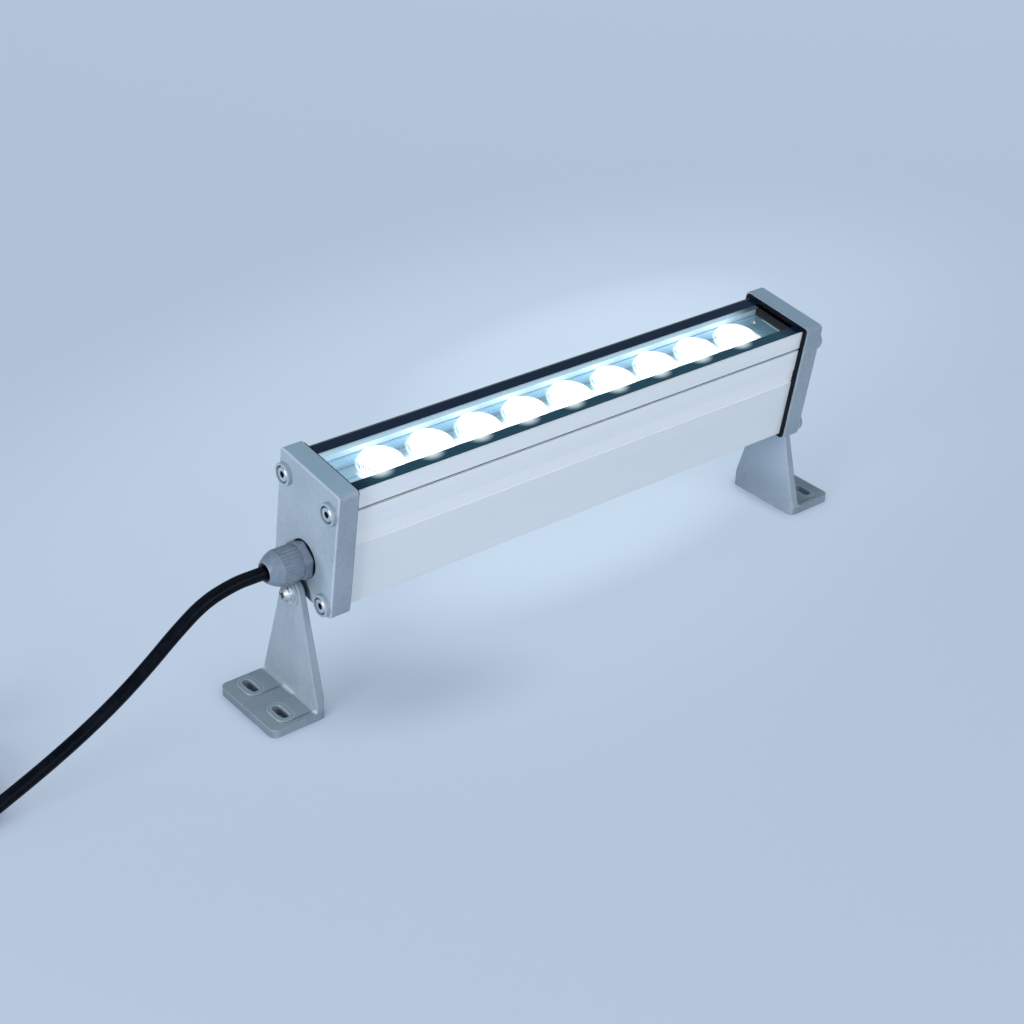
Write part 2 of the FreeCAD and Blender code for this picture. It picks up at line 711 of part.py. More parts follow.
def end_cap(side, sign):
    """Die-cast end cap: a thick plate with raised screw bosses and a pocket for the wires."""
    body = doc.addObject("PartDesign::Body", "End_cap_" + side)
    outward = sign < 0
    inner = f"{sign} * gasket_end"
    outline = sketch_on(body, f"cap_{side}_outline", "YZ_Plane", inner)
    rectangle(outline, "-cap_width / 2", "cap_width / 2", "-cap_drop", "cap_top")
    base = feature(body, "Pad", f"cap_{side}_plate", outline, "cap_thickness", away=outward)
    base = rounded(body, f"cap_{side}_corners", base, "cap_corner", lambda e: runs_along(e, 0))
    outer = sign * size("half_length")
    base = rounded(body, f"cap_{side}_edge", base, "cap_edge", lambda e: lies_at(e, 0, outer))
    for key, y, z in corners():
        behind = f"{sign} * (half_length - cap_edge - 1)"
        drawing = sketch_on(body, f"boss_{side}_{key}_outline", "YZ_Plane", behind)
        circle(drawing, "boss_radius", y, z)
        base = feature(body, "Pad", f"boss_{side}_{key}", drawing, "boss_height + cap_edge + 1", away=outward)
    boss_face = sign * size("half_length + boss_height")
    base = rounded(body, f"boss_{side}_edges", base, "boss_edge", lambda e: lies_at(e, 0, boss_face))
    pocket = sketch_on(body, f"pocket_{side}_outline", "YZ_Plane", inner)
    wall = "cap_pocket_wall"
    across = (f"-cap_width / 2 + {wall}", f"cap_width / 2 - {wall}")
    rectangle(pocket, *across, f"-cap_drop + {wall}", f"cap_top - {wall}")
    base = feature(body, "Pocket", f"pocket_{side}", pocket, "cap_pocket_depth", away=not outward)
    for key, y, z in corners():
        through = sketch_on(body, f"screw_hole_{side}_{key}_outline", "YZ_Plane", inner)
        circle(through, "screw_hole_radius", y, z)
        depth = "cap_thickness + boss_height + 1"
        base = feature(body, "Pocket", f"screw_hole_{side}_{key}", through, depth, away=not outward)
        seat_depth = "(screw_head_height - screw_head_proud)"
        name = f"screw_seat_{side}_{key}"
        seat = sketch_on(body, name + "_outline", "YZ_Plane", f"{sign} * (half_length - {seat_depth})")
        circle(seat, "screw_head_radius + screw_seat_clearance", y, z)
        base = feature(body, "Pocket", name, seat, f"{seat_depth} + boss_height + 1", away=not outward)
    pivot = sketch_on(body, f"pivot_hole_{side}_outline", "YZ_Plane", f"{sign} * (half_length - pivot_bite)")
    circle(pivot, "pivot_core_radius + pivot_clearance", "0", "0")
    base = feature(body, "Pocket", f"pivot_hole_{side}", pivot, "pivot_bite + 1", away=not outward)
    if sign < 0:
        entry = sketch_on(body, "gland_hole_outline", "YZ_Plane", inner)
        circle(entry, "gland_thread_radius + gland_thread_clearance", "0", "gland_height")
        feature(body, "Pocket", "gland_hole", entry, "cap_thickness + 1", away=not outward)
    keep(tilted(body), "end_cap_" + side)


def gasket(side, sign):
    """Flat rubber gasket between the housing and an end cap, a little larger than the housing."""
    low, high = sorted((f"{sign} * housing_end", f"{sign} * gasket_end"), key=size)
    y = ("-gasket_half_width", "gasket_half_width")
    z = ("-housing_drop - gasket_margin", "housing_top + gasket_margin")
    plate = block(f"gasket_{side}_plate", (low, high), y, z)
    frame = fillet_bar(f"gasket_{side}_rounded", plate, "gasket_corner")
    window = block(
        f"gasket_{side}_window",
        (f"{low} - 1", f"{high} + 1"),
        (f"{y[0]} + gasket_window_wall", f"{y[1]} - gasket_window_wall"),
        (f"{z[0]} + gasket_window_wall", f"{z[1]} - gasket_window_wall - glass_thickness"),
    )
    through = (f"{low} - 1", f"{high} + 1")
    holes = [rod(f"gasket_{side}_hole_{key}", "screw_hole_radius", *through, y, z) for key, y, z in corners()]
    keep(tilted(cut("Gasket_" + side, frame, window, *holes)), "gasket_" + side)


def fillet_bar(name, bar, radius):
    """The bar with its four edges along X rounded."""
    doc.recompute()
    amount = size(radius)
    made = doc.addObject("Part::Fillet", name)
    made.Base = bar
    made.Edges = [(i, amount, amount) for i, edge in enumerate(bar.Shape.Edges, 1) if runs_along(edge, 0)]
    return made


def cap_screws(side, sign):
    """Four socket head screws that hold an end cap to the housing's screw ports."""
    head_out = f"{sign} * (half_length + screw_head_proud)"
    head_in = f"{sign} * (half_length + screw_head_proud - screw_head_height)"
    tip = f"{sign} * (half_length + screw_head_proud - screw_head_height - screw_length)"
    floor = f"{sign} * (half_length + screw_head_proud - screw_socket_depth)"
    beyond = f"{sign} * (half_length + screw_head_proud + 1)"
    chamfer_in = f"{sign} * (half_length + screw_head_proud - screw_head_edge)"
    screws = []
    for key, y, z in corners():
        name = f"cap_screw_{side}_{key}"
        small = "screw_head_radius - screw_head_edge"
        head = rod(name + "_head", "screw_head_radius", *sorted((head_in, chamfer_in), key=size), y, z)
        first, last = (small, "screw_head_radius") if sign < 0 else ("screw_head_radius", small)
        crown = frustum(name + "_crown", first, last, *sorted((head_out, chamfer_in), key=size), y, z)
        shank = rod(name + "_shank", "screw_core_radius", *sorted((head_in, tip), key=size), y, z)
        socket = hexagon(name + "_socket", "screw_socket_width", *sorted((floor, beyond), key=size), y, z)
        screws.append(cut(name, fuse(name + "_solid", head, crown, shank), socket))
    keep(tilted(group("Cap_screws_" + side, *screws)), "cap_screws_" + side)


# ------------------------------------------------------------------ cable gland


def gland():
    """Nylon cable gland in the left cap: sealing ring, hex body, rubber seal, dome nut, locknut."""
    z = "gland_height"
    ring = rod("Gland_ring_disc", "gland_ring_radius", "-gland_hex_start", "-half_length", "0", z)
    bore_radius = "gland_thread_radius + gland_ring_clearance"
    bore = rod("Gland_ring_bore", bore_radius, "-gland_hex_start - 1", "-half_length + 1", "0", z)
    keep(tilted(cut("Gland_ring", ring, bore)), "gland_sealing_ring")

    pocket_floor = "half_length - cap_thickness + cap_pocket_depth"
    thread_end = f"-({pocket_floor}) + gland_locknut_thickness + 1"
    hexed = hexagon("Gland_hex", "gland_hex_width", "-gland_nut_start", "-gland_hex_start", "0", z)
    trim = rod("Gland_hex_trim", "gland_hex_trim_radius", "-gland_nut_start", "-gland_hex_start", "0", z)
    softened = doc.addObject("Part::MultiCommon", "Gland_hex_soft")
    softened.Shapes = [hexed, trim]
    thread = rod("Gland_thread", "gland_thread_radius", "-gland_hex_start", thread_end, "0", z)
    neck_end = "-gland_nut_start - gland_neck_length"
    neck = rod("Gland_neck", "gland_neck_radius", neck_end, "-gland_nut_start", "0", z)
    hole = rod("Gland_bore", "gland_bore_radius", "-gland_tip", f"{thread_end} + 1", "0", z)
    keep(tilted(cut("Gland_body", fuse("Gland_body_solid", softened, thread, neck), hole)), "gland_body")

    seal_ends = (
        "-gland_nut_start - gland_neck_length + gland_seal_gap",
        "-gland_nut_start + gland_seal_overlap",
    )
    sleeve = rod("Gland_seal_sleeve", "gland_bore_radius - cable_fit", *seal_ends, "0", z)
    seal_through = (f"{seal_ends[0]} - 1", f"{seal_ends[1]} + 1")
    passage = rod("Gland_seal_bore", "cable_radius + cable_fit", *seal_through, "0", z)
    keep(tilted(cut("Gland_seal", sleeve, passage)), "gland_seal")

    keep(tilted(dome_nut()), "gland_dome_nut")

    nut_end = f"-({pocket_floor}) + gland_locknut_thickness"
    nut = hexagon("Gland_locknut_hex", "gland_locknut_width", f"-({pocket_floor})", nut_end, "0", z)
    nut_bore = "gland_thread_radius + gland_thread_clearance"
    hole = rod("Gland_locknut_bore", nut_bore, f"-({pocket_floor}) - 1", f"{thread_end} + 1", "0", z)
    keep(tilted(cut("Gland_locknut", nut, hole)), "gland_locknut")

    inside = rod("Cable_inside", "cable_radius", "-gland_tip", f"-({pocket_floor}) + cable_inside", "0", z)
    keep(tilted(inside), "cable_inside_gland")


def dome_nut():
    """The gland's turned nut: a cylinder that rounds in to a nose, hollow over the gland's neck."""
    body = doc.addObject("PartDesign::Body", "Gland_dome_nut")
    drawing = sketch_on(body, "dome_nut_outline", "XZ_Plane")
    base_x = "-gland_nut_start - gland_nut_clearance"
    inner_end = "-gland_nut_start - gland_neck_length - gland_nut_clearance"
    shoulder_x = "-gland_nut_start - gland_nut_straight"
    neck_radius = "gland_neck_radius + gland_nut_clearance"
    spots = (
        (base_x, neck_radius),
        (base_x, "gland_nut_radius"),
        (shoulder_x, "gland_nut_radius"),
        ("-gland_tip", "gland_nose_radius"),
        ("-gland_tip", "gland_mouth_radius"),
        (inner_end, "gland_mouth_radius"),
        (inner_end, neck_radius),
    )
    numbers = [Vector(size(x), size(up)) for x, up in spots]
    shoulder, nose = numbers[2], numbers[3]
    along, down = shoulder.x - nose.x, shoulder.y - nose.y
    bend = (along**2 + down**2) / (2 * down)
    half_turn = math.atan2(along, bend - down) / 2
    bulge = shoulder + Vector(-bend * math.sin(half_turn), bend * (math.cos(half_turn) - 1))
    count = len(spots)
    for i in range(count):
        end = numbers[(i + 1) % count]
        drawing.addGeometry(Part.Arc(numbers[i], bulge, end) if i == 2 else Part.LineSegment(numbers[i], end))
    for i in range(count):
        kind = "Tangent" if i == 1 else "Coincident"
        drawing.addConstraint(Sketcher.Constraint(kind, i, 2, (i + 1) % count, 1))
    for i, (x, up) in enumerate(spots):
        hold(drawing, "DistanceX", (-1, 1, i, 1), x)
        if i != 2:
            hold(drawing, "DistanceY", (-1, 1, i, 1), up)
    drawing.addConstraint(Sketcher.Constraint("Horizontal", 1))
    turned = body.newObject("PartDesign::Revolution", "dome_nut_turned")
    turned.Profile = drawing
    turned.ReferenceAxis = (drawing, ["H_Axis"])
    turned.Angle = 360
    doc.recompute()
    lifted = doc.addObject("Part::Compound", "Dome_nut_lifted")
    lifted.Links = [body]
    bind(body, Base_z="gland_height")
    return lifted


# ------------------------------------------------------------------ free cable


def cable():
    """The free power cable: a drooping stretch from the gland, and the coil it is put away in."""
    plane_y = size("gland_y")
    start = Vector(-size("gland_tip"), plane_y, size("gland_z"))
    points = [start] + [Vector(x, plane_y, z) for x, z in CABLE_ROUTE]
    runs = [(b - a).Length for a, b in zip(points, points[1:])]
    turns = []
    for i in range(1, len(points) - 1):
        turn = (points[i] - points[i - 1]).getAngle(points[i + 1] - points[i])
        turns.append(0.45 * min(runs[i - 1], runs[i]) / math.tan(turn / 2))
    tube, length = bent_tube(points, size("cable_radius"), turns)
    print("cable radii", [round(t, 1) for t in turns], "length", round(length, 1))
    free = doc.addObject("Part::Feature", "Power_cable")
    free.Shape = tube
    keep(free, "power_cable")

    middle = ("coil_centre_x", "coil_centre_y")
    outer = post("Coil_outer", "coil_radius + 2 * cable_radius", "0", "coil_height", *middle)
    inner = post("Coil_inner", "coil_radius - 2 * cable_radius", "-1", "coil_height + 1", *middle)
    keep(cut("Coil", outer, inner), "cable_coil")


def connector():
    """Waterproof in-line connector on the cable's end, lying on the coil."""
    y, z = "connector_y", "connector_z"
    boot_end = "connector_start + connector_boot_length"
    body_end = f"{boot_end} + connector_body_length"
    nut_end = f"{body_end} + connector_nut_length"
    boot_radii = ("cable_radius + connector_boot_wall", "connector_radius")
    boot = frustum("Connector_boot", *boot_radii, "connector_start", boot_end, y, z)
    keep(boot, "connector_boot")
    barrel = rod("Connector_barrel", "connector_radius", boot_end, body_end, y, z)
    insert_radius = "connector_nut_radius - connector_nut_wall - connector_nut_clearance"
    insert = rod("Connector_insert", insert_radius, body_end, f"{body_end} + connector_nut_length / 2", y, z)
    keep(fuse("Connector_body", barrel, insert), "connector_body")
    sleeve = rod("Connector_sleeve", "connector_nut_radius", body_end, nut_end, y, z)
    nut_bore = "connector_nut_radius - connector_nut_wall"
    hollow = rod("Connector_hollow", nut_bore, f"{body_end} - 1", f"{nut_end} + 1", y, z)
    keep(cut("Connector_nut", sleeve, hollow), "connector_nut")
    root = f"{body_end} + connector_nut_length / 2"
    tip = f"{root} + connector_pin_length / 2"
    pins = [
        rod(f"Connector_pin_{i}", "connector_pin_radius", root, tip, f"{y} + {way} * connector_pin_spread", z)
        for i, way in enumerate((-1, 1))
    ]
    keep(group("Connector_pins", *pins), "connector_pins")


# ------------------------------------------------------------------ feet and pivots


def pivot(side, sign):
    """Pivot screw, washer and spacer that hold a foot to an end cap."""
    washer_face = "pivot_pad_face + pivot_washer_thickness"
    head_face = f"{washer_face} + pivot_head_height"

    def spread(low, high):
        return sorted((f"{sign} * ({low})", f"{sign} * ({high})"), key=size)

    name = "Pivot_" + side
    shank = rod(name + "_shank", "pivot_core_radius", *spread("half_length - pivot_bite", washer_face))
    head_mid = f"{washer_face} + pivot_head_height / 2"
    head = rod(name + "_head", "pivot_head_radius", *spread(washer_face, head_mid))
    small, big = "pivot_crown_radius", "pivot_head_radius"
    first, last = (small, big) if sign < 0 else (big, small)
    crown = frustum(name + "_crown", first, last, *spread(head_mid, head_face))
    arm = "pivot_recess_width / 2"
    reach = "pivot_recess_reach"
    depth = spread(f"{head_face} - pivot_recess_depth", f"{head_face} + 1")
    slot_1 = block(name + "_slot_1", depth, (f"-{arm}", arm), (f"-{reach}", reach))
    slot_2 = block(name + "_slot_2", depth, (f"-{reach}", reach), (f"-{arm}", arm))
    solid = fuse(name + "_solid", shank, head, crown)
    keep(tilted(cut(name + "_screw", solid, slot_1, slot_2)), "pivot_screw_" + side)
    bore = "pivot_core_radius + pivot_clearance"
    for what, radius, low, high in (
        ("washer", "pivot_washer_radius", "pivot_pad_face", washer_face),
        ("spacer", "pivot_spacer_radius", "half_length", "upright_in"),
    ):
        disc = rod(f"{name}_{what}_disc", radius, *spread(low, high))
        hole = rod(f"{name}_{what}_hole", bore, *spread(f"{low} - 1", f"{high} + 1"))
        keep(tilted(cut(f"{name}_{what}", disc, hole)), f"pivot_{what}_{side}")


def foot(side, sign):
    """Die-cast L-shaped foot: a drafted, tapered upright on a base plate with two slots on raised pads."""
    body = doc.addObject("PartDesign::Body", "Foot_" + side)
    outward = sign < 0
    half = "foot_width / 2"
    profile = sketch_on(body, f"upright_{side}_outline", "YZ_Plane", f"{sign} * upright_in")
    upright_outline(profile)
    feature(body, "Pad", f"upright_{side}", profile, "upright_root_thickness", away=outward)
    draft = sketch_on(body, f"draft_{side}_outline", "XZ_Plane", "foot_width / 2 + 1")
    draft_outline(draft, sign)
    feature(body, "Pocket", f"draft_{side}", draft, "foot_width + 2")
    plate = sketch_on(body, f"plate_{side}_outline", "XY_Plane")
    edges = sorted((f"{sign} * upright_in", f"{sign} * foot_out"), key=size)
    rectangle(plate, *edges, "-" + half, half)
    base = feature(body, "Pad", f"plate_{side}", plate, "foot_thickness")
    far = sign * size("foot_out")
    base = rounded(
        body, f"plate_{side}_corners", base, "foot_corner", lambda e: runs_along(e, 2) and lies_at(e, 0, far)
    )
    root = sign * size("upright_out")
    base = rounded(
        body,
        f"plate_{side}_root",
        base,
        "foot_root",
        lambda e: runs_along(e, 1) and lies_at(e, 0, root) and lies_at(e, 2, size("foot_thickness")),
    )
    slot_x = f"{sign} * (upright_in + slot_from_upright)"
    for key, way in (("front", -1), ("back", 1)):
        y = f"{way} * slot_spacing / 2"
        pad = sketch_on(body, f"slot_pad_{side}_{key}_outline", "XY_Plane", "foot_thickness - 1")
        pad_outline(pad, slot_x, y, sign)
        base = feature(body, "Pad", f"slot_pad_{side}_{key}", pad, "slot_pad_height + 1")
    for key, way in (("front", -1), ("back", 1)):
        y = f"{way} * slot_spacing / 2"
        slot = sketch_on(body, f"slot_{side}_{key}_outline", "XY_Plane", "-1")
        slot_outline(slot, slot_x, y)
        depth = "foot_thickness + slot_pad_height + 2"
        base = feature(body, "Pocket", f"slot_{side}_{key}", slot, depth, away=True)
    top = size("foot_thickness + foot_root")

    def soft_edge(e):
        """The outline edges of the upright's two faces, above the plate."""
        inner_face = lies_at(e, 0, sign * size("upright_in"))
        outer_face = all(abs(v.X - sign * drafted_face(v.Z)) < 1e-4 for v in e.Vertexes)
        high = e.BoundBox.ZMax > top and e.BoundBox.ZMin > -1e-4
        return (inner_face or outer_face) and high and e.Length > size("upright_top_radius")

    base = rounded(body, f"foot_{side}_edges", base, "foot_edge", soft_edge)
    pivot_pad = sketch_on(body, f"pivot_pad_{side}_outline", "YZ_Plane", f"{sign} * (upright_in + 1)")
    circle(pivot_pad, "pivot_pad_radius", "0", "pivot_height")
    feature(body, "Pad", f"pivot_pad_{side}", pivot_pad, "pivot_pad_face - upright_in - 1", away=outward)
    hole = sketch_on(body, f"foot_hole_{side}_outline", "YZ_Plane", f"{sign} * (upright_in - 1)")
    circle(hole, "pivot_core_radius + pivot_clearance", "0", "pivot_height")
    feature(body, "Pocket", f"foot_hole_{side}", hole, "upright_root_thickness + 2", away=not outward)
    corner = "foot_inner_corner"
    tools = []
    for key, way in (("front", -1), ("back", 1)):
        x = sorted((f"{sign} * (upright_in - 1)", f"{sign} * (upright_in + {corner})"), key=size)
        y = sorted((f"{way} * ({half} - {corner})", f"{way} * ({half} + 1)"), key=size)
        height = ("-1", "pivot_height")
        block_1 = block(f"corner_{side}_{key}_block", x, y, height)
        middle = (f"{sign} * (upright_in + {corner})", f"{way} * ({half} - {corner})")
        round_1 = post(f"corner_{side}_{key}_round", corner, "-2", "pivot_height + 1", *middle)
        tools.append(cut(f"corner_{side}_{key}", block_1, round_1))
    placed = group(f"Foot_{side}_placed", cut(f"Foot_{side}_rounded", body, *tools))
    bind(placed, Base_y="pivot_y")
    keep(placed, "foot_" + side)


def drafted_face(z):
    """How far out the upright's outer face is at a height: it leans in from root to pivot."""
    start, rise = size("upright_out"), size("foot_thickness")
    slope = (size("upright_top_out") - start) / (size("pivot_height") - rise)
    return start + (z - rise) * slope


def draft_outline(drawing, sign):
    """The wedge between the upright's square block and its leaning outer face."""
    top = "(pivot_height + upright_top_radius + 1)"
    lean = "(upright_root_thickness - upright_thickness) / (pivot_height - foot_thickness)"
    top_x = f"{sign} * (upright_out - ({top} - foot_thickness) * {lean})"
    spots = (
        (f"{sign} * upright_out", "foot_thickness"),
        (f"{sign} * (upright_out + 1)", "foot_thickness"),
        (f"{sign} * (upright_out + 1)", top),
        (top_x, top),
    )
    numbers = [Vector(size(x), size(up)) for x, up in spots]
    for i in range(4):
        drawing.addGeometry(Part.LineSegment(numbers[i], numbers[(i + 1) % 4]))
    for i in range(4):
        drawing.addConstraint(Sketcher.Constraint("Coincident", i, 2, (i + 1) % 4, 1))
    for i, (x, up) in enumerate(spots):
        hold(drawing, "DistanceX", (-1, 1, i, 1), x)
        hold(drawing, "DistanceY", (-1, 1, i, 1), up)


# The pads' ends are almost half circles, as a share of their half width.
PAD_ROUNDING = 0.98


def upright_outline(drawing):
    """A tapered plate: straight foot, sloping sides that are tangent to a round top."""
    half, rise = size("foot_width / 2"), size("foot_thickness")
    radius, height = size("upright_top_radius"), size("pivot_height")
    distance = math.hypot(half, height - rise)
    lean = math.atan2(half, height - rise) - math.asin(radius / distance)
    touch = Vector(radius * math.cos(lean), height + radius * math.sin(lean))
    mirror = Vector(-touch.x, touch.y)
    spots = [Vector(-half, 0), Vector(half, 0), Vector(half, rise), touch, mirror, Vector(-half, rise)]
    for i in range(6):
        if i == 3:
            top = Vector(0, height + radius)
            drawing.addGeometry(Part.Arc(touch, top, mirror))
        else:
            drawing.addGeometry(Part.LineSegment(spots[i], spots[(i + 1) % 6]))
    for i in range(6):
        if i in (2, 3):
            drawing.addConstraint(Sketcher.Constraint("Tangent", i, 2, i + 1, 1))
        else:
            drawing.addConstraint(Sketcher.Constraint("Coincident", i, 2, (i + 1) % 6, 1))
    drawing.addConstraint(Sketcher.Constraint("Horizontal", 0))
    drawing.addConstraint(Sketcher.Constraint("Vertical", 1))
    drawing.addConstraint(Sketcher.Constraint("Vertical", 5))
    drawing.addConstraint(Sketcher.Constraint("PointOnObject", 3, 3, -2))
    drawing.addConstraint(Sketcher.Constraint("PointOnObject", 0, 1, -1))
    hold(drawing, "Radius", (3,), "upright_top_radius")
    hold(drawing, "DistanceY", (-1, 1, 3, 3), "pivot_height")
    hold(drawing, "DistanceX", (-1, 1, 0, 2), "foot_width / 2")
    hold(drawing, "DistanceX", (-1, 1, 0, 1), "-foot_width / 2")
    hold(drawing, "DistanceY", (-1, 1, 1, 2), "foot_thickness")
    hold(drawing, "DistanceY", (-1, 1, 4, 2), "foot_thickness")


def pad_outline(drawing, slot_x, y, sign):
    """A raised pad round a slot: a rounded outer end, straight to the upright."""
    across = "(slot_width / 2 + slot_pad_margin)"
    reach = "(slot_length / 2 + slot_pad_margin)"
    inner, outer = f"{sign} * (upright_out - slot_pad_bite)", f"{slot_x} + {sign} * {across}"
    left, right = sorted((inner, outer), key=size)
    low, high = f"{y} - {reach}", f"{y} + {reach}"
    rectangle(drawing, left, right, low, high)
    corners_at = {(3, 0): (left, low), (2, 3): (left, high), (0, 1): (right, low), (1, 2): (right, high)}
    for a, b in ((3, 0), (2, 3)) if sign < 0 else ((0, 1), (1, 2)):
        corner = Vector(*(size(place) for place in corners_at[(a, b)]))
        drawing.fillet(a, b, near(drawing, a, corner), near(drawing, b, corner), PAD_ROUNDING * size(across))


def near(drawing, index, corner):
    """A point on the sketch's line a little away from the corner."""
    line = drawing.Geometry[index]
    ends = sorted((line.StartPoint, line.EndPoint), key=lambda p: (p - corner).Length)
    return ends[0] + (ends[1] - ends[0]) * 0.2


def slot_outline(drawing, x, y):
    """A slot along Y: two straight sides and two round ends."""
    centre = Vector(size(x), size(y))
    radius, half = size("slot_width / 2"), size("slot_length / 2 - slot_width / 2")
    top, low = centre + Vector(0, half), centre - Vector(0, half)
    side = Vector(radius, 0)
    drawing.addGeometry(Part.Arc(top + side, top + Vector(0, radius), top - side))
    drawing.addGeometry(Part.LineSegment(top - side, low - side))
    drawing.addGeometry(Part.Arc(low - side, low - Vector(0, radius), low + side))
    drawing.addGeometry(Part.LineSegment(low + side, top + side))
    for i in range(4):
        drawing.addConstraint(Sketcher.Constraint("Tangent", i, 2, (i + 1) % 4, 1))
    hold(drawing, "Radius", (0,), "slot_width / 2")
    hold(drawing, "DistanceX", (-1, 1, 0, 3), x)
    hold(drawing, "DistanceX", (-1, 1, 2, 3), x)
    hold(drawing, "DistanceY", (-1, 1, 0, 3), f"{y} + slot_length / 2 - slot_width / 2")
    hold(drawing, "DistanceY", (-1, 1, 2, 3), f"{y} - slot_length / 2 + slot_width / 2")


# ------------------------------------------------------------------ the assembly


def check_and_export():
    """Stops at any failed object or bad shape, then writes one STEP file for each sub-part."""
    doc.recompute()
    for thing in doc.Objects:
        if {"Invalid", "Error"} & set(thing.State):
            raise RuntimeError(f"{thing.Label} failed: {thing.State}")
    for part in SUBPARTS:
        if part.Shape.isNull() or not part.Shape.isValid() or part.Shape.Volume <= 0:
            raise RuntimeError(f"{part.Label} has no valid solid")
    os.makedirs("parts", exist_ok=True)
    for part in SUBPARTS:
        part.Shape.exportStep(f"parts/{part.Label}.step")
    print(len(SUBPARTS), "sub-parts written")


housing()
glass()
light_engine()
driver()
wires()
for END, SIGN in (("left", -1), ("right", 1)):
    end_cap(END, SIGN)
    gasket(END, SIGN)
    cap_screws(END, SIGN)
    pivot(END, SIGN)
    foot(END, SIGN)
gland()
cable()
connector()
check_and_export()
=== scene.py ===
import math

import bmesh
import bpy
from mathutils import Matrix, Vector


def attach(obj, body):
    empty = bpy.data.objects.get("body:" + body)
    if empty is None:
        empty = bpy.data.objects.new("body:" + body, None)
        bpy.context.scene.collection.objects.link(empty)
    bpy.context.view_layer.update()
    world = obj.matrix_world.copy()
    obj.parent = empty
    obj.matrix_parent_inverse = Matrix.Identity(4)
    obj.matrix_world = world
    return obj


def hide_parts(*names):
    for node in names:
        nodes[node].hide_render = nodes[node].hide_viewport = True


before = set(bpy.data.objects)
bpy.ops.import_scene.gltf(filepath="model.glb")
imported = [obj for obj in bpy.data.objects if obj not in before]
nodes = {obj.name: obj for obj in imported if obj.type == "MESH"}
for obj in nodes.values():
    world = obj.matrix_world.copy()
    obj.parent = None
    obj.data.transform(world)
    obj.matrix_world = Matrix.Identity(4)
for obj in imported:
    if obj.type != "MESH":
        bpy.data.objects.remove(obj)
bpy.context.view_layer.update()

# ---------------------------------------------------------------------------------------------
# Studio: a pale blue-grey paper floor that runs out of sight, a soft key lamp on the left, and weak
# fills in front and overhead. The pools of light that the lit lamp throws, and one soft shadow,
# are painted on the paper.
# ---------------------------------------------------------------------------------------------
picture_pixels, focal_pixels, sensor_width = 1024, 1930, 36
camera_place = (-0.5514, -0.6107, 0.5330)
yaw, pitch, roll = math.radians(40.44), math.radians(-30.65), math.radians(2.36)
forward = Vector((math.sin(yaw) * math.cos(pitch), math.cos(yaw) * math.cos(pitch), math.sin(pitch)))
level_right = Vector((math.cos(yaw), -math.sin(yaw), 0))
level_up = level_right.cross(forward)
right = level_right * math.cos(roll) + level_up * math.sin(roll)
up = level_up * math.cos(roll) - level_right * math.sin(roll)
camera_data = bpy.data.cameras.new("camera")
camera_data.sensor_width = sensor_width
camera_data.lens = focal_pixels / picture_pixels * sensor_width
camera = bpy.data.objects.new("camera", camera_data)
bpy.context.scene.collection.objects.link(camera)
camera.matrix_world = Matrix.Translation(camera_place) @ Matrix((right, up, -forward)).transposed().to_4x4()
bpy.context.scene.camera = camera
bpy.context.scene.view_settings.view_transform = "Standard"


def soft_lamp(name, place, aim, width, height, watts, colour):
    lamp_data = bpy.data.lights.new(name, "AREA")
    lamp_data.shape = "RECTANGLE"
    lamp_data.size, lamp_data.size_y = width, height
    lamp_data.energy, lamp_data.color = watts, colour
    lamp = bpy.data.objects.new(name, lamp_data)
    bpy.context.scene.collection.objects.link(lamp)
    lamp.location = place
    lamp.rotation_euler = (Vector(aim) - Vector(place)).to_track_quat("-Z", "Y").to_euler()


soft_lamp("left_softbox", (-1.60, -0.35, 0.52), (0, 0, 0.06), 0.8, 0.8, 21, (0.97, 0.985, 1.0))
soft_lamp("front_softbox", (0.15, -1.5, 0.75), (0, 0, 0.08), 1.6, 1.0, 10.6, (0.97, 0.985, 1.0))
soft_lamp("overhead_softbox", (0.1, 0.4, 1.5), (0, 0, 0), 1.8, 1.2, 3.2, (0.72, 0.87, 1.0))

world = bpy.data.worlds.new("studio")
bpy.context.scene.world = world
world.use_nodes = True
world.node_tree.nodes["Background"].inputs["Color"].default_value = (0.72, 0.82, 0.95, 1)
world.node_tree.nodes["Background"].inputs["Strength"].default_value = 0.30


def add(tree, kind, inputs=None, **settings):
    """One shader node; an input is a value, or the socket that feeds it."""
    node = tree.nodes.new("ShaderNode" + kind)
    for name, setting in settings.items():
        setattr(node, name, setting)
    for name, source in (inputs or {}).items():
        if isinstance(source, bpy.types.NodeSocket):
            tree.links.new(source, node.inputs[name])
        else:
            node.inputs[name].default_value = source
    return node


def sums(tree, operation, first, second=0.0, third=0.0):
    """The result of one Math node."""
    return add(tree, "Math", {0: first, 1: second, 2: third}, operation=operation).outputs[0]


def times(tree, first, *others):
    """The product of several values."""
    for other in others:
        first = sums(tree, "MULTIPLY", first, other)
    return first


def largest(tree, first, *others):
    """The largest of several values."""
    for other in others:
        first = sums(tree, "MAXIMUM", first, other)
    return first


def between(tree, share, start, end):
    """A colour between two others."""
    mix = add(tree, "Mix", data_type="RGBA", blend_type="MIX", clamp_factor=True)
    for socket, source in ((mix.inputs[0], share), (mix.inputs[6], start), (mix.inputs[7], end)):
        if isinstance(source, bpy.types.NodeSocket):
            tree.links.new(source, socket)
        else:
            socket.default_value = source
    return mix.outputs[2]


def ramp(tree, source, low, high, out_low=0.0, out_high=1.0):
    """A smooth step of a value."""
    return add(tree, "MapRange", {"Value": source, "From Min": low, "From Max": high, "To Min": out_low,
                                  "To Max": out_high}, interpolation_type="SMOOTHSTEP").outputs[0]


def piece_place(tree):
    """Where a point of the piece is, in metres, on the piece's own axes."""
    return add(tree, "TexCoord").outputs["Object"]


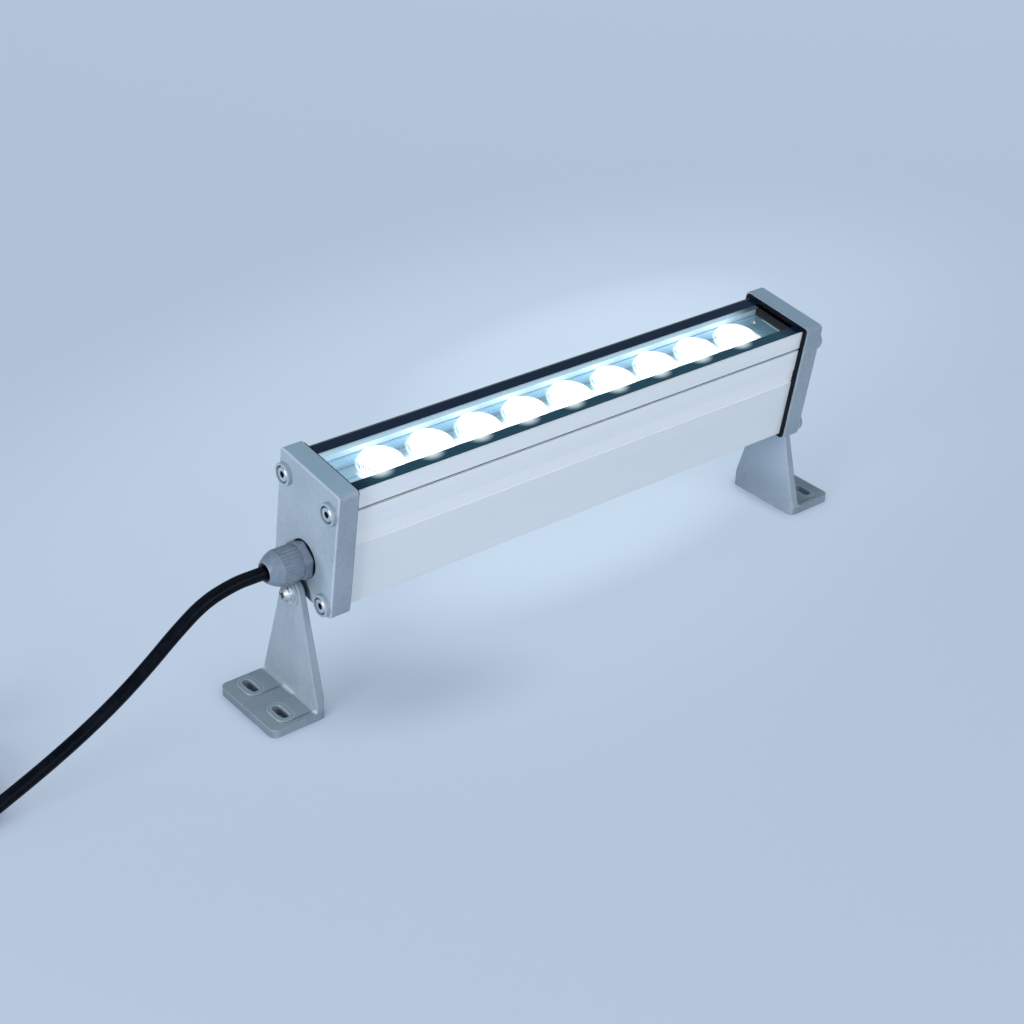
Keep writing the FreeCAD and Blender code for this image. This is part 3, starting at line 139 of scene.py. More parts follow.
def split(tree, vector):
    """The three parts of a vector."""
    return add(tree, "SeparateXYZ", {0: vector}).outputs[:]


def length_of(tree, vector):
    return add(tree, "VectorMath", {0: vector}, operation="LENGTH").outputs["Value"]


def from_ellipse(tree, spot, middle, turn, longer):
    """How far a place is from the middle of a turned ellipse, measured as across its narrow side."""
    centred = add(tree, "Mapping", {"Vector": spot, "Location": middle, "Rotation": (0, 0, turn),
                                    "Scale": (longer, 1, 1)}, vector_type="TEXTURE")
    return length_of(tree, centred.outputs[0])


floor_mesh = bmesh.new()
bmesh.ops.create_grid(floor_mesh, x_segments=1, y_segments=1, size=8)
floor_data = bpy.data.meshes.new("studio_floor")
floor_mesh.to_mesh(floor_data)
floor_mesh.free()
floor = bpy.data.objects.new("studio_floor", floor_data)
bpy.context.scene.collection.objects.link(floor)
floor_paint = bpy.data.materials.new("studio_floor_paint")
floor_paint.use_nodes = True
floor_data.materials.append(floor_paint)
tree = floor_paint.node_tree
tree.nodes.clear()
spot = piece_place(tree)
floor_x, floor_y, _ = split(tree, spot)
pools = 0.0
for middle, turn, longer, reach, strength in (
        ((0.190, 0.195, 0), 0.13, 2.3, 0.125, 1.0),
        ((0.055, 0.040, 0), 0.06, 2.6, 0.080, 1.0),
        ((0.120, 0.160, 0), 0.13, 1.8, 0.300, 0.55)):
    away = from_ellipse(tree, spot, middle, turn, longer)
    pools = largest(tree, pools, ramp(tree, away, reach, reach * 0.25, 0.0, strength))
shadow = ramp(tree, from_ellipse(tree, spot, (-0.112, -0.022, 0), -0.35, 2.0), 0.044, 0.002, 0.0, 0.36)
paper_colour = between(tree, pools, (0.462, 0.550, 0.682, 1), (0.630, 0.750, 0.880, 1))
paper_colour = between(tree, shadow, paper_colour, (0.20, 0.26, 0.36, 1))
paper = add(tree, "BsdfDiffuse", {"Color": paper_colour})
brightness = ramp(tree, sums(tree, "ADD", floor_x, floor_y), -0.6, 2.4, 1.28, 1.68)
shown_paper = add(tree, "Emission", {"Color": paper_colour, "Strength": brightness})
# The share of shown paper falls where something rests on the floor, so that contacts stay dark.
openness = add(tree, "AmbientOcclusion", {"Distance": 0.012}, samples=6).outputs["AO"]
open_above = ramp(tree, openness, 0.25, 0.95)
rays = add(tree, "LightPath").outputs
seen = largest(tree, rays["Is Camera Ray"], rays["Is Glossy Ray"], rays["Is Transmission Ray"])
share_shown = times(tree, seen, times(tree, open_above, 0.5))
blended = add(tree, "MixShader", {0: share_shown, 1: paper.outputs[0], 2: shown_paper.outputs[0]})
add(tree, "OutputMaterial", {"Surface": blended.outputs[0]})

# ---------------------------------------------------------------------------------------------
# Housing: an aluminium extrusion, satin anodised silver. Fine drawing marks run along it, the flat
# band down the front is a little brighter, and the trough carries a painted blue tint and painted
# blue-white light of the lenses. The grooves along its sides take painted shade, and the lip at the
# back is dark.
# ---------------------------------------------------------------------------------------------
pivot_y, pivot_z, lean = 0.0037127, 0.0576, math.radians(7.05)
lamp_lean = Matrix.Translation((0, pivot_y, pivot_z)) @ Matrix.Rotation(lean, 4, "X")


def new_group(name, takes, gives):
    """A shared surface effect: a shader node group, with its inner start and end nodes."""
    group = bpy.data.node_groups.new(name, "ShaderNodeTree")
    for label, usual in takes.items():
        socket = group.interface.new_socket(name=label, in_out="INPUT", socket_type="NodeSocketFloat")
        socket.default_value = usual
    for label in gives:
        group.interface.new_socket(name=label, in_out="OUTPUT", socket_type="NodeSocketFloat")
    return group, group.nodes.new("NodeGroupInput"), group.nodes.new("NodeGroupOutput")


def place_group(tree, group, **values):
    """A shared effect placed in a material with its own values."""
    node = add(tree, "Group", node_tree=group)
    for name, number in values.items():
        node.inputs[name.replace("_", " ")].default_value = number
    return node


def new_finish(name, **inputs):
    """A material, its node tree and its Principled shader."""
    finish = bpy.data.materials.new(name)
    finish.use_nodes = True
    shader = finish.node_tree.nodes["Principled BSDF"]
    for socket, number in inputs.items():
        shader.inputs[socket.replace("_", " ")].default_value = number
    return finish, finish.node_tree, shader


def feed(tree, shader, **sources):
    for socket, source in sources.items():
        tree.links.new(source, shader.inputs[socket.replace("_", " ")])


def dress(finish, *names):
    """Gives CAD nodes a finish."""
    for name in names:
        for slot in nodes[name].material_slots:
            slot.material = finish


def lamp_place(tree):
    """Where a point is on the leaning lamp's axes: along it, across it and up it, in metres."""
    return add(tree, "Mapping", {"Vector": piece_place(tree), "Location": (0, pivot_y, pivot_z),
                                 "Rotation": (lean, 0, 0)}, vector_type="TEXTURE").outputs[0]


def apart(tree, value, middle):
    """How far a value is from another, either way."""
    return sums(tree, "ABSOLUTE", sums(tree, "SUBTRACT", value, middle))


def noise(tree, scale, detail, vector=None, **more):
    """A noise value over the piece."""
    vector = piece_place(tree) if vector is None else vector
    return add(tree, "TexNoise", {"Vector": vector, "Scale": scale, "Detail": detail, **more}).outputs["Fac"]


def bumped(tree, height, strength, distance=0.0002):
    """A normal that follows a height."""
    return add(tree, "Bump", {"Height": height, "Strength": strength, "Distance": distance}).outputs[0]


drawn_grain, inner, outer = new_group("drawn_grain", {"Fineness": 1.0}, ("Shade", "Height"))
inside = drawn_grain
along_lines = add(inside, "Mapping", {"Vector": piece_place(inside), "Scale": (4, 900, 900)}).outputs[0]
lines = noise(inside, inner.outputs["Fineness"], 3.0, along_lines)
wide_patches = add(inside, "Mapping", {"Vector": piece_place(inside), "Scale": (3, 55, 55)}).outputs[0]
clouds = noise(inside, 1.0, 2.0, wide_patches)
inside.links.new(sums(inside, "MULTIPLY_ADD", lines, 0.55, times(inside, clouds, 0.45)),
                 outer.inputs["Shade"])
inside.links.new(lines, outer.inputs["Height"])

trough_half, trough_floor, groove_height, band_low, band_high = 0.0174, 0.0490, 0.0513, 0.0314, 0.0388
anodised, tree, shader = new_finish("anodised_aluminium", Metallic=0.15, IOR=1.45, Emission_Strength=1.0)
grain = place_group(tree, drawn_grain, Fineness=1.0)
lamp_x, lamp_y, lamp_z = split(tree, lamp_place(tree))
outside = sums(tree, "ABSOLUTE", lamp_y)
in_band = times(tree, ramp(tree, lamp_z, band_low - 0.0002, band_low + 0.0002),
                ramp(tree, lamp_z, band_high + 0.0002, band_high - 0.0002))
in_trough = times(tree, ramp(tree, lamp_z, trough_floor - 0.0010, trough_floor + 0.0010),
                  ramp(tree, outside, trough_half + 0.0002, trough_half - 0.0002))
shade = ramp(tree, grain.outputs["Shade"], 0.30, 0.70)
skin = between(tree, shade, (0.875, 0.930, 0.955, 1), (0.925, 0.965, 0.985, 1))
skin = between(tree, times(tree, in_band, 0.6), skin, (0.985, 0.990, 0.995, 1))
skin = between(tree, ramp(tree, lamp_z, 0.0318, 0.0308, 0.0, 0.10), skin, (0.30, 0.36, 0.42, 1))
# The trough takes a painted blue tint and glows with painted light of the lenses, less towards the +X end.
skin = between(tree, times(tree, in_trough, 0.8), skin, (0.72, 0.86, 0.96, 1))
# The grooves along the sides take painted shade, and the lip at the back is dark.
in_groove = times(tree, ramp(tree, apart(tree, lamp_z, groove_height), 0.00065, 0.00045),
                  ramp(tree, outside, 0.0180, 0.0185))
back_lip = times(tree, ramp(tree, lamp_y, 0.0184, 0.0187), ramp(tree, lamp_z, 0.0604, 0.0608))
skin = between(tree, largest(tree, in_groove, times(tree, back_lip, 0.9)), skin, (0.010, 0.012, 0.022, 1))
lit = times(tree, in_trough, ramp(tree, lamp_x, 0.134, 0.110, 0.12, 1.0))
feed(tree, shader, Base_Color=skin, Roughness=sums(tree, "MULTIPLY_ADD", shade, 0.10, 0.36),
     Normal=bumped(tree, grain.outputs["Height"], 0.10, 0.0003),
     Emission_Color=between(tree, lit, (0, 0, 0, 1), (0.19, 0.29, 0.39, 1)))
dress(anodised, "housing")

# ---------------------------------------------------------------------------------------------
# End caps and feet: die-cast aluminium with a cool grey powder coat. The coat has a very fine
# orange peel and a faint mottle, and has painted highlights along the rims, the slots and the root.
# ---------------------------------------------------------------------------------------------
powder_skin, inner, outer = new_group("powder_skin", {"Peel": 1.0}, ("Shade", "Height"))
inside = powder_skin
peel = noise(inside, 1300.0, 2.0)
speck = noise(inside, 420.0, 3.0, Roughness=0.6)
mottle = noise(inside, 48.0, 3.0)
inside.links.new(sums(inside, "MULTIPLY_ADD", speck, 0.5, times(inside, mottle, 0.5)), outer.inputs["Shade"])
inside.links.new(times(inside, inner.outputs["Peel"], sums(inside, "MULTIPLY_ADD", speck, 0.6, peel)),
                 outer.inputs["Height"])


def distance(tree, **parts):
    """How long the vector with these parts is."""
    return length_of(tree, add(tree, "CombineXYZ", parts).outputs[0])


slot_out, slot_aside, slot_straight, slot_half, pad_margin = 0.1714, 0.0125, 0.0031, 0.0024, 0.0021
root_out, root_height, pad_side_height = 0.1588, 0.0051, 0.0048
cap_half, cap_top, cap_low = 0.02275, 0.06385, 0.00335
cast_grey, tree, shader = new_finish("cast_grey_powder_coat", Metallic=0.0, IOR=1.5)
powder = place_group(tree, powder_skin, Peel=1.0)
shade = ramp(tree, powder.outputs["Shade"], 0.34, 0.66)
skin = between(tree, shade, (0.285, 0.350, 0.415, 1), (0.345, 0.420, 0.490, 1))
x, y, z = split(tree, piece_place(tree))
_, lamp_y, lamp_z = split(tree, lamp_place(tree))
face_x, face_y, face_z = split(tree, add(tree, "NewGeometry").outputs["Normal"])
outward, across = sums(tree, "ABSOLUTE", x), sums(tree, "ABSOLUTE", lamp_y)

# Painted highlights: the slots and their pads, the root of the upright and the rims of the caps.
slot_y = sums(tree, "SUBTRACT", apart(tree, apart(tree, y, pivot_y), slot_aside), slot_straight)
slot_y = largest(tree, 0.0, slot_y)
from_slot = sums(tree, "SUBTRACT", distance(tree, X=apart(tree, outward, slot_out), Y=slot_y), slot_half)
slot_rim = ramp(tree, from_slot, 0.0006, 0.0001)
pad_rim = times(tree, ramp(tree, apart(tree, from_slot, pad_margin), 0.0004, 0.0001),
                ramp(tree, slot_y, -0.001, 0.0005))
root = times(tree, ramp(tree, apart(tree, outward, root_out), 0.0010, 0.0006),
             ramp(tree, apart(tree, z, root_height), 0.0011, 0.0007))
from_edge = sums(tree, "MINIMUM", sums(tree, "SUBTRACT", cap_top, lamp_z), sums(tree, "ADD", lamp_z, cap_low))
from_edge = sums(tree, "MINIMUM", sums(tree, "SUBTRACT", cap_half, across), from_edge)
cap_rim = times(tree, ramp(tree, from_edge, 0.0010, 0.0006), ramp(tree, outward, 0.1491, 0.1495),
                ramp(tree, outward, 0.1506, 0.1503))
on_top = ramp(tree, z, 0.0046, 0.0052)
edge_highlights = largest(tree, times(tree, cap_rim, 0.28), times(tree, root, 0.55), times(
    tree, on_top, largest(tree, times(tree, slot_rim, 0.40), times(tree, pad_rim, 0.30))))

# The plugs inside the housing take a painted dark teal shade, and faces that look up take a painted
# tint of sky light. The sides of plates and pads, the low part of the left foot and the place beside
# the gland take painted shade, and the inner face of the right foot takes painted light.
hidden = times(tree, ramp(tree, outward, 0.1448, 0.1446), ramp(tree, across, 0.0192, 0.0189),
               ramp(tree, lamp_z, 0.0607, 0.0603), ramp(tree, lamp_z, -0.0020, 0.0))
skin = between(tree, hidden, skin, (0.003, 0.018, 0.034, 1))
sky_tint = between(tree, ramp(tree, z, 0.02, 0.05), (0.195, 0.258, 0.294, 1), (0.295, 0.485, 0.630, 1))
facing_up = ramp(tree, face_z, 0.80, 0.97)
skin = between(tree, times(tree, facing_up, sums(tree, "MULTIPLY_ADD", hidden, -0.5, 0.5)), skin, sky_tint)
left_end = ramp(tree, x, 0.0, -0.1)
inner_face = times(tree, ramp(tree, x, 0.1510, 0.1520), ramp(tree, face_x, -0.4, -0.8, 0.0, 0.5))
facing_left = times(tree, left_end, ramp(tree, face_x, -0.3, -0.9))
plate_side = times(tree, ramp(tree, z, 0.0042, 0.0036), sums(
    tree, "MULTIPLY_ADD", inner_face, -0.5, sums(tree, "MULTIPLY_ADD", facing_left, 0.35, 0.25)))
low_on_foot = times(tree, ramp(tree, z, 0.042, 0.012, 0.0, 0.15), left_end, ramp(tree, face_z, 0.9, 0.5))
pad_side = times(tree, ramp(tree, apart(tree, z, pad_side_height), 0.0006, 0.0003),
                 ramp(tree, face_y, -0.4, -0.8, 0.0, 0.65), ramp(tree, outward, 0.1602, 0.1608))
skin = between(tree, largest(tree, pad_side, plate_side, low_on_foot), skin, (0.06, 0.08, 0.11, 1))
# Painted highlights lighten the rims, the slots, the pads and the root.
skin = between(tree, edge_highlights, skin, (0.62, 0.72, 0.82, 1))
skin = between(tree, times(tree, inner_face, ramp(tree, z, 0.004, 0.036)), skin, (0.58, 0.70, 0.82, 1))
from_gland = distance(tree, Y=sums(tree, "ADD", lamp_y, 0.0050), Z=sums(tree, "SUBTRACT", lamp_z, 0.0140))
beside_gland = times(tree, ramp(tree, from_gland, 0.0150, 0.0075, 0.0, 0.42), ramp(tree, x, -0.1492, -0.1497))
skin = between(tree, beside_gland, skin, (0.10, 0.13, 0.17, 1))
feed(tree, shader, Base_Color=skin, Roughness=sums(tree, "MULTIPLY_ADD", shade, 0.10, 0.38),
     Normal=bumped(tree, powder.outputs["Height"], 0.22))
dress(cast_grey, "end_cap_left", "end_cap_right", "foot_left", "foot_right")

# ---------------------------------------------------------------------------------------------
# Gaskets and sealing rings: black moulded rubber, matt, with the faint bloom that rubber gets.
# They are squeezed between the housing and its caps and between the gland and the left cap.
# ---------------------------------------------------------------------------------------------


def moulded_finish(name, dark, light, roughness, peel, relief, high=0.70, dulling=0.15, IOR=1.5):
    """A moulded plastic or rubber that wanders between two shades."""
    finish, tree, shader = new_finish(name, IOR=IOR)
    powder = place_group(tree, powder_skin, Peel=peel)
    shade = ramp(tree, powder.outputs["Shade"], 0.35, high)
    feed(tree, shader, Base_Color=between(tree, shade, dark, light),
         Roughness=sums(tree, "MULTIPLY_ADD", shade, dulling, roughness))
    if relief:
        feed(tree, shader, Normal=bumped(tree, powder.outputs["Height"], relief))
    return finish


black_rubber = moulded_finish("black_rubber", (0.002, 0.003, 0.006, 1), (0.007, 0.010, 0.016, 1), 0.50,
                              peel=0.6, relief=0.15, IOR=1.22)
dress(black_rubber, "gasket_left", "gasket_right", "gland_sealing_ring", "gland_seal")

# ---------------------------------------------------------------------------------------------
# Screws: stainless socket heads in the caps, cross-recessed pivot screws with washers, and the
# small screws of the LED board. The metal is bright and finely scuffed, and the recesses take
# painted shade.
# Spacers of black nylon go between the caps and the feet.
# ---------------------------------------------------------------------------------------------
bright_steel, tree, shader = new_finish("bright_steel", Metallic=1.0)
scuffs = noise(tree, 700.0, 3.0)
shade = ramp(tree, scuffs, 0.35, 0.68)
metal = between(tree, shade, (0.66, 0.70, 0.74, 1), (0.82, 0.86, 0.90, 1))
x, y, z = split(tree, piece_place(tree))
outward = sums(tree, "ABSOLUTE", x)
from_pivot = distance(tree, Y=sums(tree, "SUBTRACT", y, pivot_y), Z=sums(tree, "SUBTRACT", z, pivot_z))
# Painted shade in the sockets of the cap screws and the cross recesses of the pivot screws.
in_socket = times(tree, ramp(tree, outward, 0.1519, 0.1515), ramp(tree, outward, 0.1400, 0.1410))
in_cross = times(tree, ramp(tree, from_pivot, 0.0023, 0.0021), ramp(tree, outward, 0.1604, 0.1600))
metal = between(tree, times(tree, largest(tree, in_socket, in_cross), 0.88), metal, (0.02, 0.025, 0.03, 1))
pivot_head = times(tree, ramp(tree, from_pivot, 0.0047, 0.0043), ramp(tree, outward, 0.1590, 0.1594))
metal = between(tree, times(tree, pivot_head, 0.45), metal, (0.20, 0.23, 0.27, 1))
feed(tree, shader, Base_Color=metal, Normal=bumped(tree, scuffs, 0.06), Roughness=sums(
    tree, "ADD", sums(tree, "MULTIPLY_ADD", shade, 0.14, 0.30), times(tree, pivot_head, 0.22)))
dress(bright_steel, "cap_screws_left", "cap_screws_right", "pivot_screw_left", "pivot_screw_right",
      "pivot_washer_left", "pivot_washer_right", "board_screws")

spacer_nylon, tree, shader = new_finish("spacer_nylon", IOR=1.5)
shade = place_group(tree, powder_skin, Peel=0.4).outputs["Shade"]
feed(tree, shader, Base_Color=between(tree, shade, (0.020, 0.022, 0.028, 1), (0.055, 0.060, 0.070, 1)),
     Roughness=sums(tree, "MULTIPLY_ADD", shade, 0.2, 0.4))
dress(spacer_nylon, "pivot_spacer_left", "pivot_spacer_right")

# ---------------------------------------------------------------------------------------------
# Glass cover: clear toughened glass, 4 mm, let into the housing and flush with its edges. A black
# border is printed along both sides and carries painted light of the lenses; black seals lie under it.
# ---------------------------------------------------------------------------------------------
led_pitch, middle_beat, lobe_shift = 0.02775, 20.5, 0.0094


def from_lens(tree, along):
    """How far along the bar a place is from the nearest lens."""
    beats = sums(tree, "MULTIPLY_ADD", along, 1 / led_pitch, middle_beat)
    return times(tree, sums(tree, "SUBTRACT", sums(tree, "FRACT", beats), 0.5), led_pitch)


lens_beat, _, outer = new_group("lens_beat", {}, ("Reach", "Aside"))
inside = lens_beat
lamp_x, lamp_y, _ = split(inside, lamp_place(inside))
aside = from_lens(inside, lamp_x)
past_last = largest(inside, 0.0, sums(inside, "SUBTRACT", sums(inside, "ABSOLUTE", lamp_x), 4.4 * led_pitch))
inside.links.new(distance(inside, X=aside, Y=lamp_y, Z=times(inside, 3.0, past_last)), outer.inputs["Reach"])
inside.links.new(aside, outer.inputs["Aside"])

clear_glass, tree, shader = new_finish("clear_glass", Metallic=0.0, Transmission_Weight=1.0, IOR=1.38,
                                       Emission_Strength=1.0)
wipe_marks = noise(tree, 18.0, 2.0)
grain = place_group(tree, drawn_grain, Fineness=0.6)
lamp_x, lamp_y, lamp_z = split(tree, lamp_place(tree))
beside_opening = ramp(tree, sums(tree, "ABSOLUTE", lamp_y), 0.01245, 0.01265)
border = times(tree, beside_opening, ramp(tree, lamp_z, 0.0609, 0.0611))
front = ramp(tree, lamp_y, 0.001, -0.001)
clear = between(tree, wipe_marks, (0.955, 0.985, 0.990, 1), (0.980, 0.995, 1.0, 1))
# The border's glow is painted light of the lenses: dim all along, teal on the front, pale near each lens.
dim_border_glow = (0.0, 0.010, 0.030, 1)
front_border_glow = between(tree, grain.outputs["Shade"], (0.006, 0.040, 0.070, 1), (0.010, 0.055, 0.090, 1))
lit = between(tree, front, dim_border_glow, front_border_glow)
lit = between(tree, ramp(tree, sums(tree, "ABSOLUTE", lamp_x), 0.124, 0.137), lit, dim_border_glow)
# The painted light that bleeds over the front border is moved along, to meet the lenses seen from the left.
lobe = distance(tree, X=from_lens(tree, sums(tree, "ADD", lamp_x, lobe_shift)),
                Y=times(tree, sums(tree, "ADD", lamp_y, 0.0115), 1.3))
lobe = times(tree, ramp(tree, lobe, 0.0080, 0.0010), ramp(tree, lamp_x, 0.119, 0.114))
lit = between(tree, times(tree, lobe, front), lit, (0.66, 0.82, 0.87, 1))
feed(tree, shader, Base_Color=between(tree, border, clear, (0, 0, 0, 1)), Roughness=sums(
    tree, "MULTIPLY_ADD", border, 0.16, ramp(tree, wipe_marks, 0.40, 0.80, 0.0, 0.035)),
     Emission_Color=between(tree, border, (0, 0, 0, 1), lit))
dress(clear_glass, "glass_cover")

black_seal, tree, shader = new_finish("black_seal", IOR=1.35, Emission_Strength=1.0)
shade = place_group(tree, drawn_grain, Fineness=0.6).outputs["Shade"]
lamp_x, lamp_y, _ = split(tree, lamp_place(tree))
# The seals glow with painted light of the lenses, except along the outer back edge, and less towards the +X
# end.
lit = times(tree, ramp(tree, lamp_y, 0.0152, 0.0146), ramp(tree, lamp_x, 0.134, 0.115, 0.10, 1.0))
feed(tree, shader, Base_Color=between(tree, shade, (0.001, 0.008, 0.018, 1), (0.001, 0.012, 0.024, 1)),
     Roughness=sums(tree, "MULTIPLY_ADD", shade, 0.12, 0.16),
     Emission_Color=between(tree, lit, (0, 0, 0, 1), (0.46, 0.64, 0.78, 1)))
dress(black_seal, "glass_seal_front", "glass_seal_back")

# ---------------------------------------------------------------------------------------------
# LED board: an aluminium board with a deep teal glossy mask, on its thermal pad. Tracks run along
# it, small parts are soldered between the lenses, and blobs of solder sit near its ends.
# ---------------------------------------------------------------------------------------------
board_teal, tree, shader = new_finish("board_teal", IOR=1.5, Coat_Weight=0.3, Emission_Strength=1.0)
# The board glows with painted light of the lenses, brighter near each lens.
near_lens = ramp(tree, place_group(tree, lens_beat).outputs["Reach"], 0.0200, 0.0100)
along_tracks = add(tree, "Mapping", {"Vector": lamp_place(tree), "Scale": (18, 420, 1)}).outputs[0]
copper = ramp(tree, noise(tree, 1.0, 2.0, along_tracks), 0.50, 0.56)
feed(tree, shader, Base_Color=between(tree, copper, (0.085, 0.170, 0.225, 1), (0.24, 0.40, 0.49, 1)),
     Roughness=sums(tree, "MULTIPLY_ADD", copper, 0.15, 0.22), Normal=bumped(tree, copper, 0.3, 0.0001),
     Emission_Color=between(tree, near_lens, (0.01, 0.03, 0.045, 1), (0.13, 0.26, 0.33, 1)))
dress(board_teal, "led_board")

thermal_grey, tree, shader = new_finish("thermal_pad_grey", IOR=1.4)
shade = place_group(tree, powder_skin, Peel=0.8).outputs["Shade"]
feed(tree, shader, Base_Color=between(tree, shade, (0.34, 0.36, 0.39, 1), (0.50, 0.52, 0.55, 1)),
     Roughness=sums(tree, "MULTIPLY_ADD", shade, 0.2, 0.6))
dress(thermal_grey, "thermal_pad")


def add_box(mesh, size, place):
    """A box in a bmesh; gives its corners."""
    corners = bmesh.ops.create_cube(mesh, size=1)["verts"]
    bmesh.ops.scale(mesh, vec=size, verts=corners)
    bmesh.ops.translate(mesh, vec=place, verts=corners)
    return corners


def add_stub(mesh, segments, low_radius, top_radius, height, place):
    """A short tapered round in a bmesh; gives its corners."""
    corners = bmesh.ops.create_cone(mesh, cap_ends=True, segments=segments, radius1=low_radius,
                                    radius2=top_radius, depth=height)["verts"]
    bmesh.ops.translate(mesh, vec=place, verts=corners)
    return corners


def new_piece(name, mesh, finish, smooth=True):
    """A finished bmesh as an object at the origin that rides on the lamp."""
    for face in mesh.faces:
        face.smooth = smooth
    data = bpy.data.meshes.new(name)
    mesh.to_mesh(data)
    mesh.free()
    data.materials.append(finish)
    piece = bpy.data.objects.new(name, data)
    bpy.context.scene.collection.objects.link(piece)
    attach(piece, "lamp")
    return piece


solder_white, tree, shader = new_finish("small_parts", IOR=1.5)
flux = noise(tree, 900.0, 2.0)
feed(tree, shader, Base_Color=between(tree, flux, (0.42, 0.50, 0.54, 1), (0.72, 0.80, 0.84, 1)),
     Roughness=sums(tree, "MULTIPLY_ADD", flux, 0.2, 0.25))
lens_count = 9
part_size, part_aside, part_level = (0.0032, 0.0016, 0.0007), 0.0098, 0.04435
pad_radius, pad_top_radius, pad_height, pad_along, pad_aside = 0.0018, 0.0012, 0.0007, 0.1262, 0.0040
small_parts = bmesh.new()
for gap in range(lens_count - 1):
    for across in (-part_aside, part_aside):
        add_box(small_parts, part_size, ((gap - (lens_count - 2) / 2) * led_pitch, across, part_level))
for along in (-pad_along, pad_along):
    for across in (-pad_aside, pad_aside):
        add_stub(small_parts, 20, pad_radius, pad_top_radius, pad_height, (along, across, part_level))
bmesh.ops.bevel(small_parts, geom=small_parts.edges[:], offset=0.00015, affect="EDGES", segments=2,
                profile=0.5, material=-1)
bmesh.ops.transform(small_parts, matrix=lamp_lean, verts=small_parts.verts)
new_piece("board_small_parts", small_parts, solder_white, smooth=False)

# ---------------------------------------------------------------------------------------------
# LEDs and lenses: packages of yellow phosphor under moulded acrylic lenses that stand on the
# board. Each lens is a fluted cone with a flat lit top, and all nine are on.
# ---------------------------------------------------------------------------------------------
phosphor, tree, shader = new_finish("led_phosphor", IOR=1.5, Emission_Strength=1.5)
grains = noise(tree, 1500.0, 2.0)
feed(tree, shader, Base_Color=between(tree, grains, (0.86, 0.80, 0.42, 1), (0.95, 0.92, 0.66, 1)),
     Roughness=sums(tree, "MULTIPLY_ADD", grains, 0.2, 0.3),
     Emission_Color=between(tree, grains, (0.86, 0.95, 1.0, 1), (1.0, 1.0, 1.0, 1)))
dress(phosphor, *(f"led_{number + 1}" for number in range(lens_count)))

lens_top = 0.0553
lit_acrylic, tree, shader = new_finish("lit_acrylic", Roughness=0.25, IOR=1.49, Emission_Strength=2.0)
beat = place_group(tree, lens_beat).outputs
_, lamp_y, lamp_z = split(tree, lamp_place(tree))
# The glow is painted light, pale blue low on the cone and white on the flat top, and the flutes at the sides
# are painted darker.
glow = between(tree, ramp(tree, lamp_z, 0.0440, 0.0552), (0.66, 0.78, 0.84, 1), (0.90, 0.96, 0.98, 1))
glow = between(tree, ramp(tree, lamp_z, lens_top - 0.0002, lens_top), glow, (1.0, 1.0, 1.0, 1))
flute = sums(tree, "SINE", times(tree, sums(tree, "ARCTAN2", lamp_y, beat["Aside"]), 42.0))
ribs = times(tree, ramp(tree, flute, -0.2, 0.7),
             ramp(tree, sums(tree, "ABSOLUTE", beat["Aside"]), 0.0050, 0.0080),
             ramp(tree, beat["Reach"], 0.0070, 0.0082), ramp(tree, lamp_z, 0.0530, 0.0540))
resin = between(tree, noise(tree, 500.0, 2.0), (0.50, 0.55, 0.57, 1), (0.60, 0.64, 0.66, 1))
feed(tree, shader, Base_Color=between(tree, ribs, resin, (0.22, 0.25, 0.26, 1)),
     Emission_Color=between(tree, ribs, glow, (0.20, 0.25, 0.27, 1)))


def turn_outline(mesh, outline, centre, axis, steps, closed=True):
    """Turns an outline of points into a round form in a bmesh."""
    corners = [mesh.verts.new(point) for point in outline]
    next_corners = corners[1:] + corners[:1] if closed else corners[1:]
    edges = [mesh.edges.new(pair) for pair in zip(corners, next_corners)]
    bmesh.ops.spin(mesh, geom=corners + edges, cent=centre, axis=axis, angle=math.tau, steps=steps,
                   use_merge=True)


def step_round(first, second, steps):
    """Which step of a full turn a corner is on."""
    return round(math.atan2(first, second) * steps / math.tau)


def close_up(mesh):
    """Merges doubled corners and turns the faces outwards."""
    bmesh.ops.remove_doubles(mesh, verts=mesh.verts, dist=1e-6)
    bmesh.ops.recalc_face_normals(mesh, faces=mesh.faces)


lens_outline = [(0.0, 0.0472), (0.0031, 0.0472), (0.0031, 0.0440), (0.0066, 0.0440), (0.0078, 0.0473),
                (0.0090, 0.0504), (0.0099, 0.0530), (0.0103, 0.0534), (0.0104, 0.0537), (0.0104, 0.0552),
                (0.0101, 0.0555), (0.0095, 0.0555), (0.0091, 0.0553), (0.0, 0.0553)]
lens_steps, flutes_from, flute_share = 96, 0.0067, 0.955
lens_places = [(number - (lens_count - 1) / 2) * led_pitch for number in range(lens_count)]
nine_lenses = bmesh.new()
for along in lens_places:
    before = set(nine_lenses.verts)
    turn_outline(nine_lenses, [(along + reach, 0, level) for reach, level in lens_outline], (along, 0, 0),
                 (0, 0, 1), lens_steps, closed=False)
    for vert in set(nine_lenses.verts) - before:
        x, y = vert.co.x - along, vert.co.y
        if flutes_from < math.hypot(x, y) and vert.co.z < lens_top and step_round(y, x, lens_steps) % 2:
            vert.co.x, vert.co.y = along + x * flute_share, y * flute_share
close_up(nine_lenses)
bmesh.ops.transform(nine_lenses, matrix=lamp_lean, verts=nine_lenses.verts)
lenses = new_piece("nine_lenses", nine_lenses, lit_acrylic, smooth=False)
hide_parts(*(f"lens_{number + 1}" for number in range(lens_count)))

